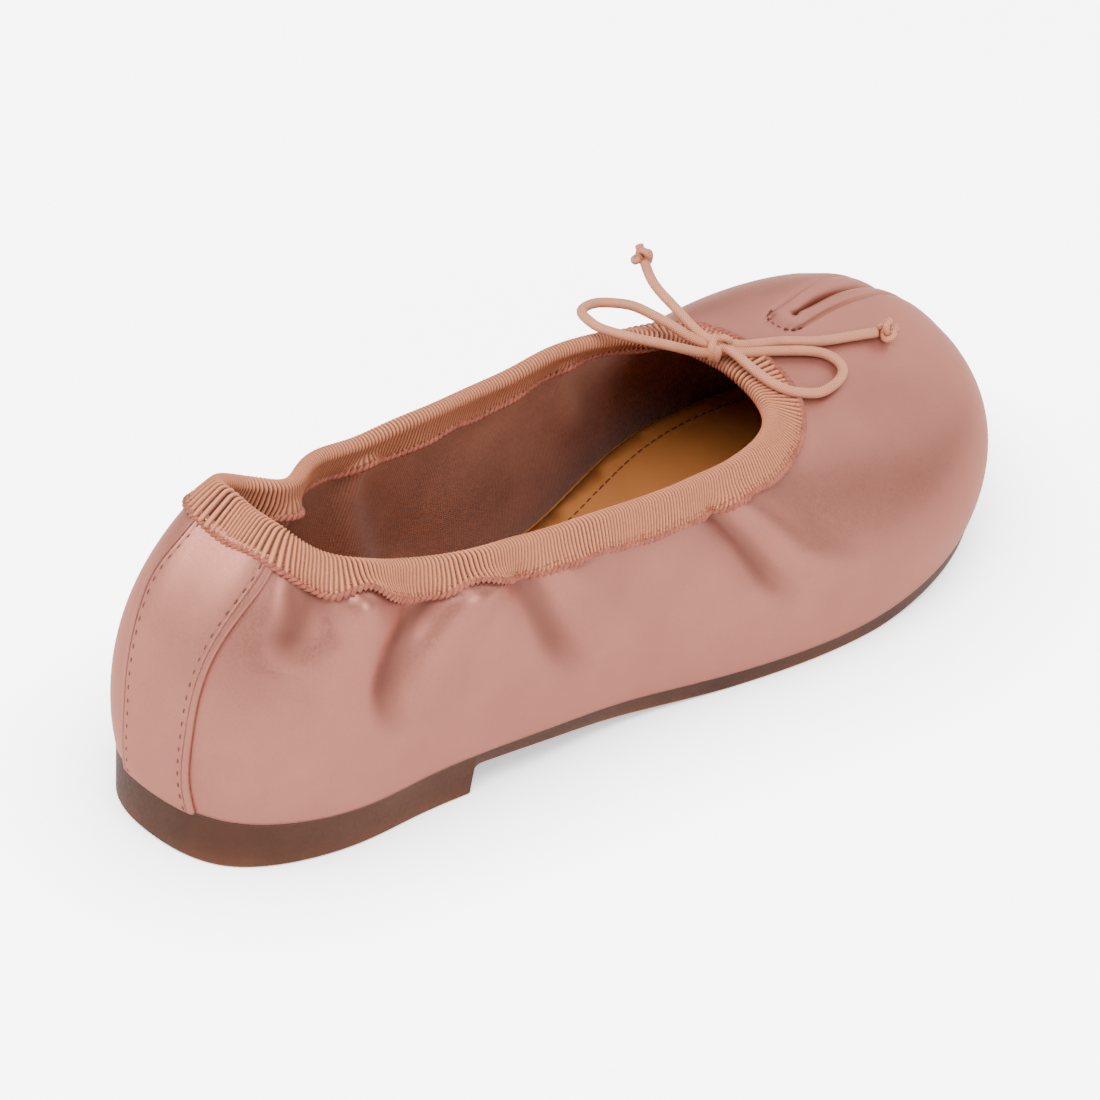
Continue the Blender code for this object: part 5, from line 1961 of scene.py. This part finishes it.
@dataclass
class Studio:
    """Pale floor, soft lights and the camera."""

    camera_place: tuple = (-0.9088, 0.9735, 0.9707)
    camera_aim: tuple = (-0.0026, 0.0085, 0.03)
    camera_roll: float = 6.91
    lens: float = 243.0
    sensor: float = 36.0
    floor_size: float = 24.0
    floor_colour: tuple = (0.93, 0.925, 0.925, 1.0)
    floor_rough: float = 0.9
    floor_glow: float = 0.3
    floor_white: float = 4.6
    # Reach and strength of the painted contact shadow in the floor's glow.
    painted_shadow_reach: float = 0.035
    painted_shadow_power: float = 1.5
    surround: tuple = (1.0, 0.99, 0.985, 1.0)
    surround_strength: float = 0.25
    boxes: tuple = (
        SoftBox("overhead_light", (-0.25, 0.62, 1.3), (0.0, 0.0, 0.0), 1.1, 40.0),
        SoftBox("side_light", (-1.5, -0.1, 0.64), (0.0, 0.0, 0.03), 0.75, 20.0),
        SoftBox("back_light", (0.85, 1.25, 0.75), (0.0, 0.0, 0.03), 0.7, 21.0),
        SoftBox("toe_light", (0.35, -1.35, 0.95), (0.0, 0.0, 0.03), 2.4, 34.0),
    )

    def set_floor(self) -> None:
        """Wide pale floor that glows almost white to the camera, with a painted shadow where the
        shoe is near.
        """
        bpy.ops.mesh.primitive_plane_add(size=self.floor_size, location=(0.0, 0.0, 0.0))
        floor = bpy.context.object
        floor.name = "floor"
        made = bpy.data.materials.new("pale_floor")
        made.use_nodes = True
        bench = Bench(made.node_tree)
        seen = bench.put("ShaderNodeLightPath").outputs["Is Camera Ray"]
        # Painted shadow: the glow seen by the camera fades with ambient occlusion near the shoe.
        near = bench.put("ShaderNodeAmbientOcclusion",
                         {"Distance": self.painted_shadow_reach}).outputs["AO"]
        white = bench.maths("MULTIPLY", bench.maths("POWER", near, self.painted_shadow_power),
                            self.floor_white)
        bench.fill(made.node_tree.nodes["Principled BSDF"], {
            "Base Color": self.floor_colour, "Roughness": self.floor_rough,
            "Emission Color": (1.0, 1.0, 1.0, 1.0),
            "Emission Strength": bench.maths("MULTIPLY_ADD", seen, white, self.floor_glow)})
        floor.data.materials.append(made)

    def set_lights(self) -> None:
        """Soft boxes and a plain pale surround."""
        for box in self.boxes:
            data = bpy.data.lights.new(box.name, "AREA")
            data.shape, data.size, data.energy = "DISK", box.size, box.power
            light = new_object(box.name, data)
            light.location = box.place
            way = Vector(box.aim) - Vector(box.place)
            light.rotation_euler = way.to_track_quat("-Z", "Y").to_euler()
        world = bpy.data.worlds.new("surround")
        bpy.context.scene.world = world
        world.use_nodes = True
        Bench(world.node_tree).fill(world.node_tree.nodes["Background"], {
            "Color": self.surround, "Strength": self.surround_strength})

    def set_camera(self) -> None:
        """Camera behind the heel on the outer side, looking down at the shoe."""
        data = bpy.data.cameras.new("camera")
        data.lens, data.sensor_width = self.lens, self.sensor
        camera = new_object("camera", data)
        place = Vector(self.camera_place)
        way = (Vector(self.camera_aim) - place).normalized()
        turn = way.to_track_quat("-Z", "Y").to_matrix() @ Matrix.Rotation(
            math.radians(self.camera_roll), 3, "Z")
        camera.matrix_world = Matrix.Translation(place) @ turn.to_4x4()
        bpy.context.scene.camera = camera

    def build(self) -> None:
        """Set the studio up."""
        self.set_floor()
        self.set_lights()
        self.set_camera()


def main() -> None:
    """Dress the shoe and set the studio round it."""
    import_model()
    Studio().build()
    drape = Drape(Last(RIBS), GATHERS, CREASES)
    wall = Wall(drape)
    LOG.info("collar %.0f mm, %d columns", drape.run[-1], len(wall.u))
    for part in (Upper(wall), HeelStrip(drape), CollarTape(drape)):
        part.build()
        part.sew()
    Outsole(wall).build()
    sock = Insole(wall)
    sock.build()
    sock.sew()
    Bow().build()


if __name__ == "__main__":
    logging.basicConfig(level=logging.INFO, format="%(message)s")
    main()
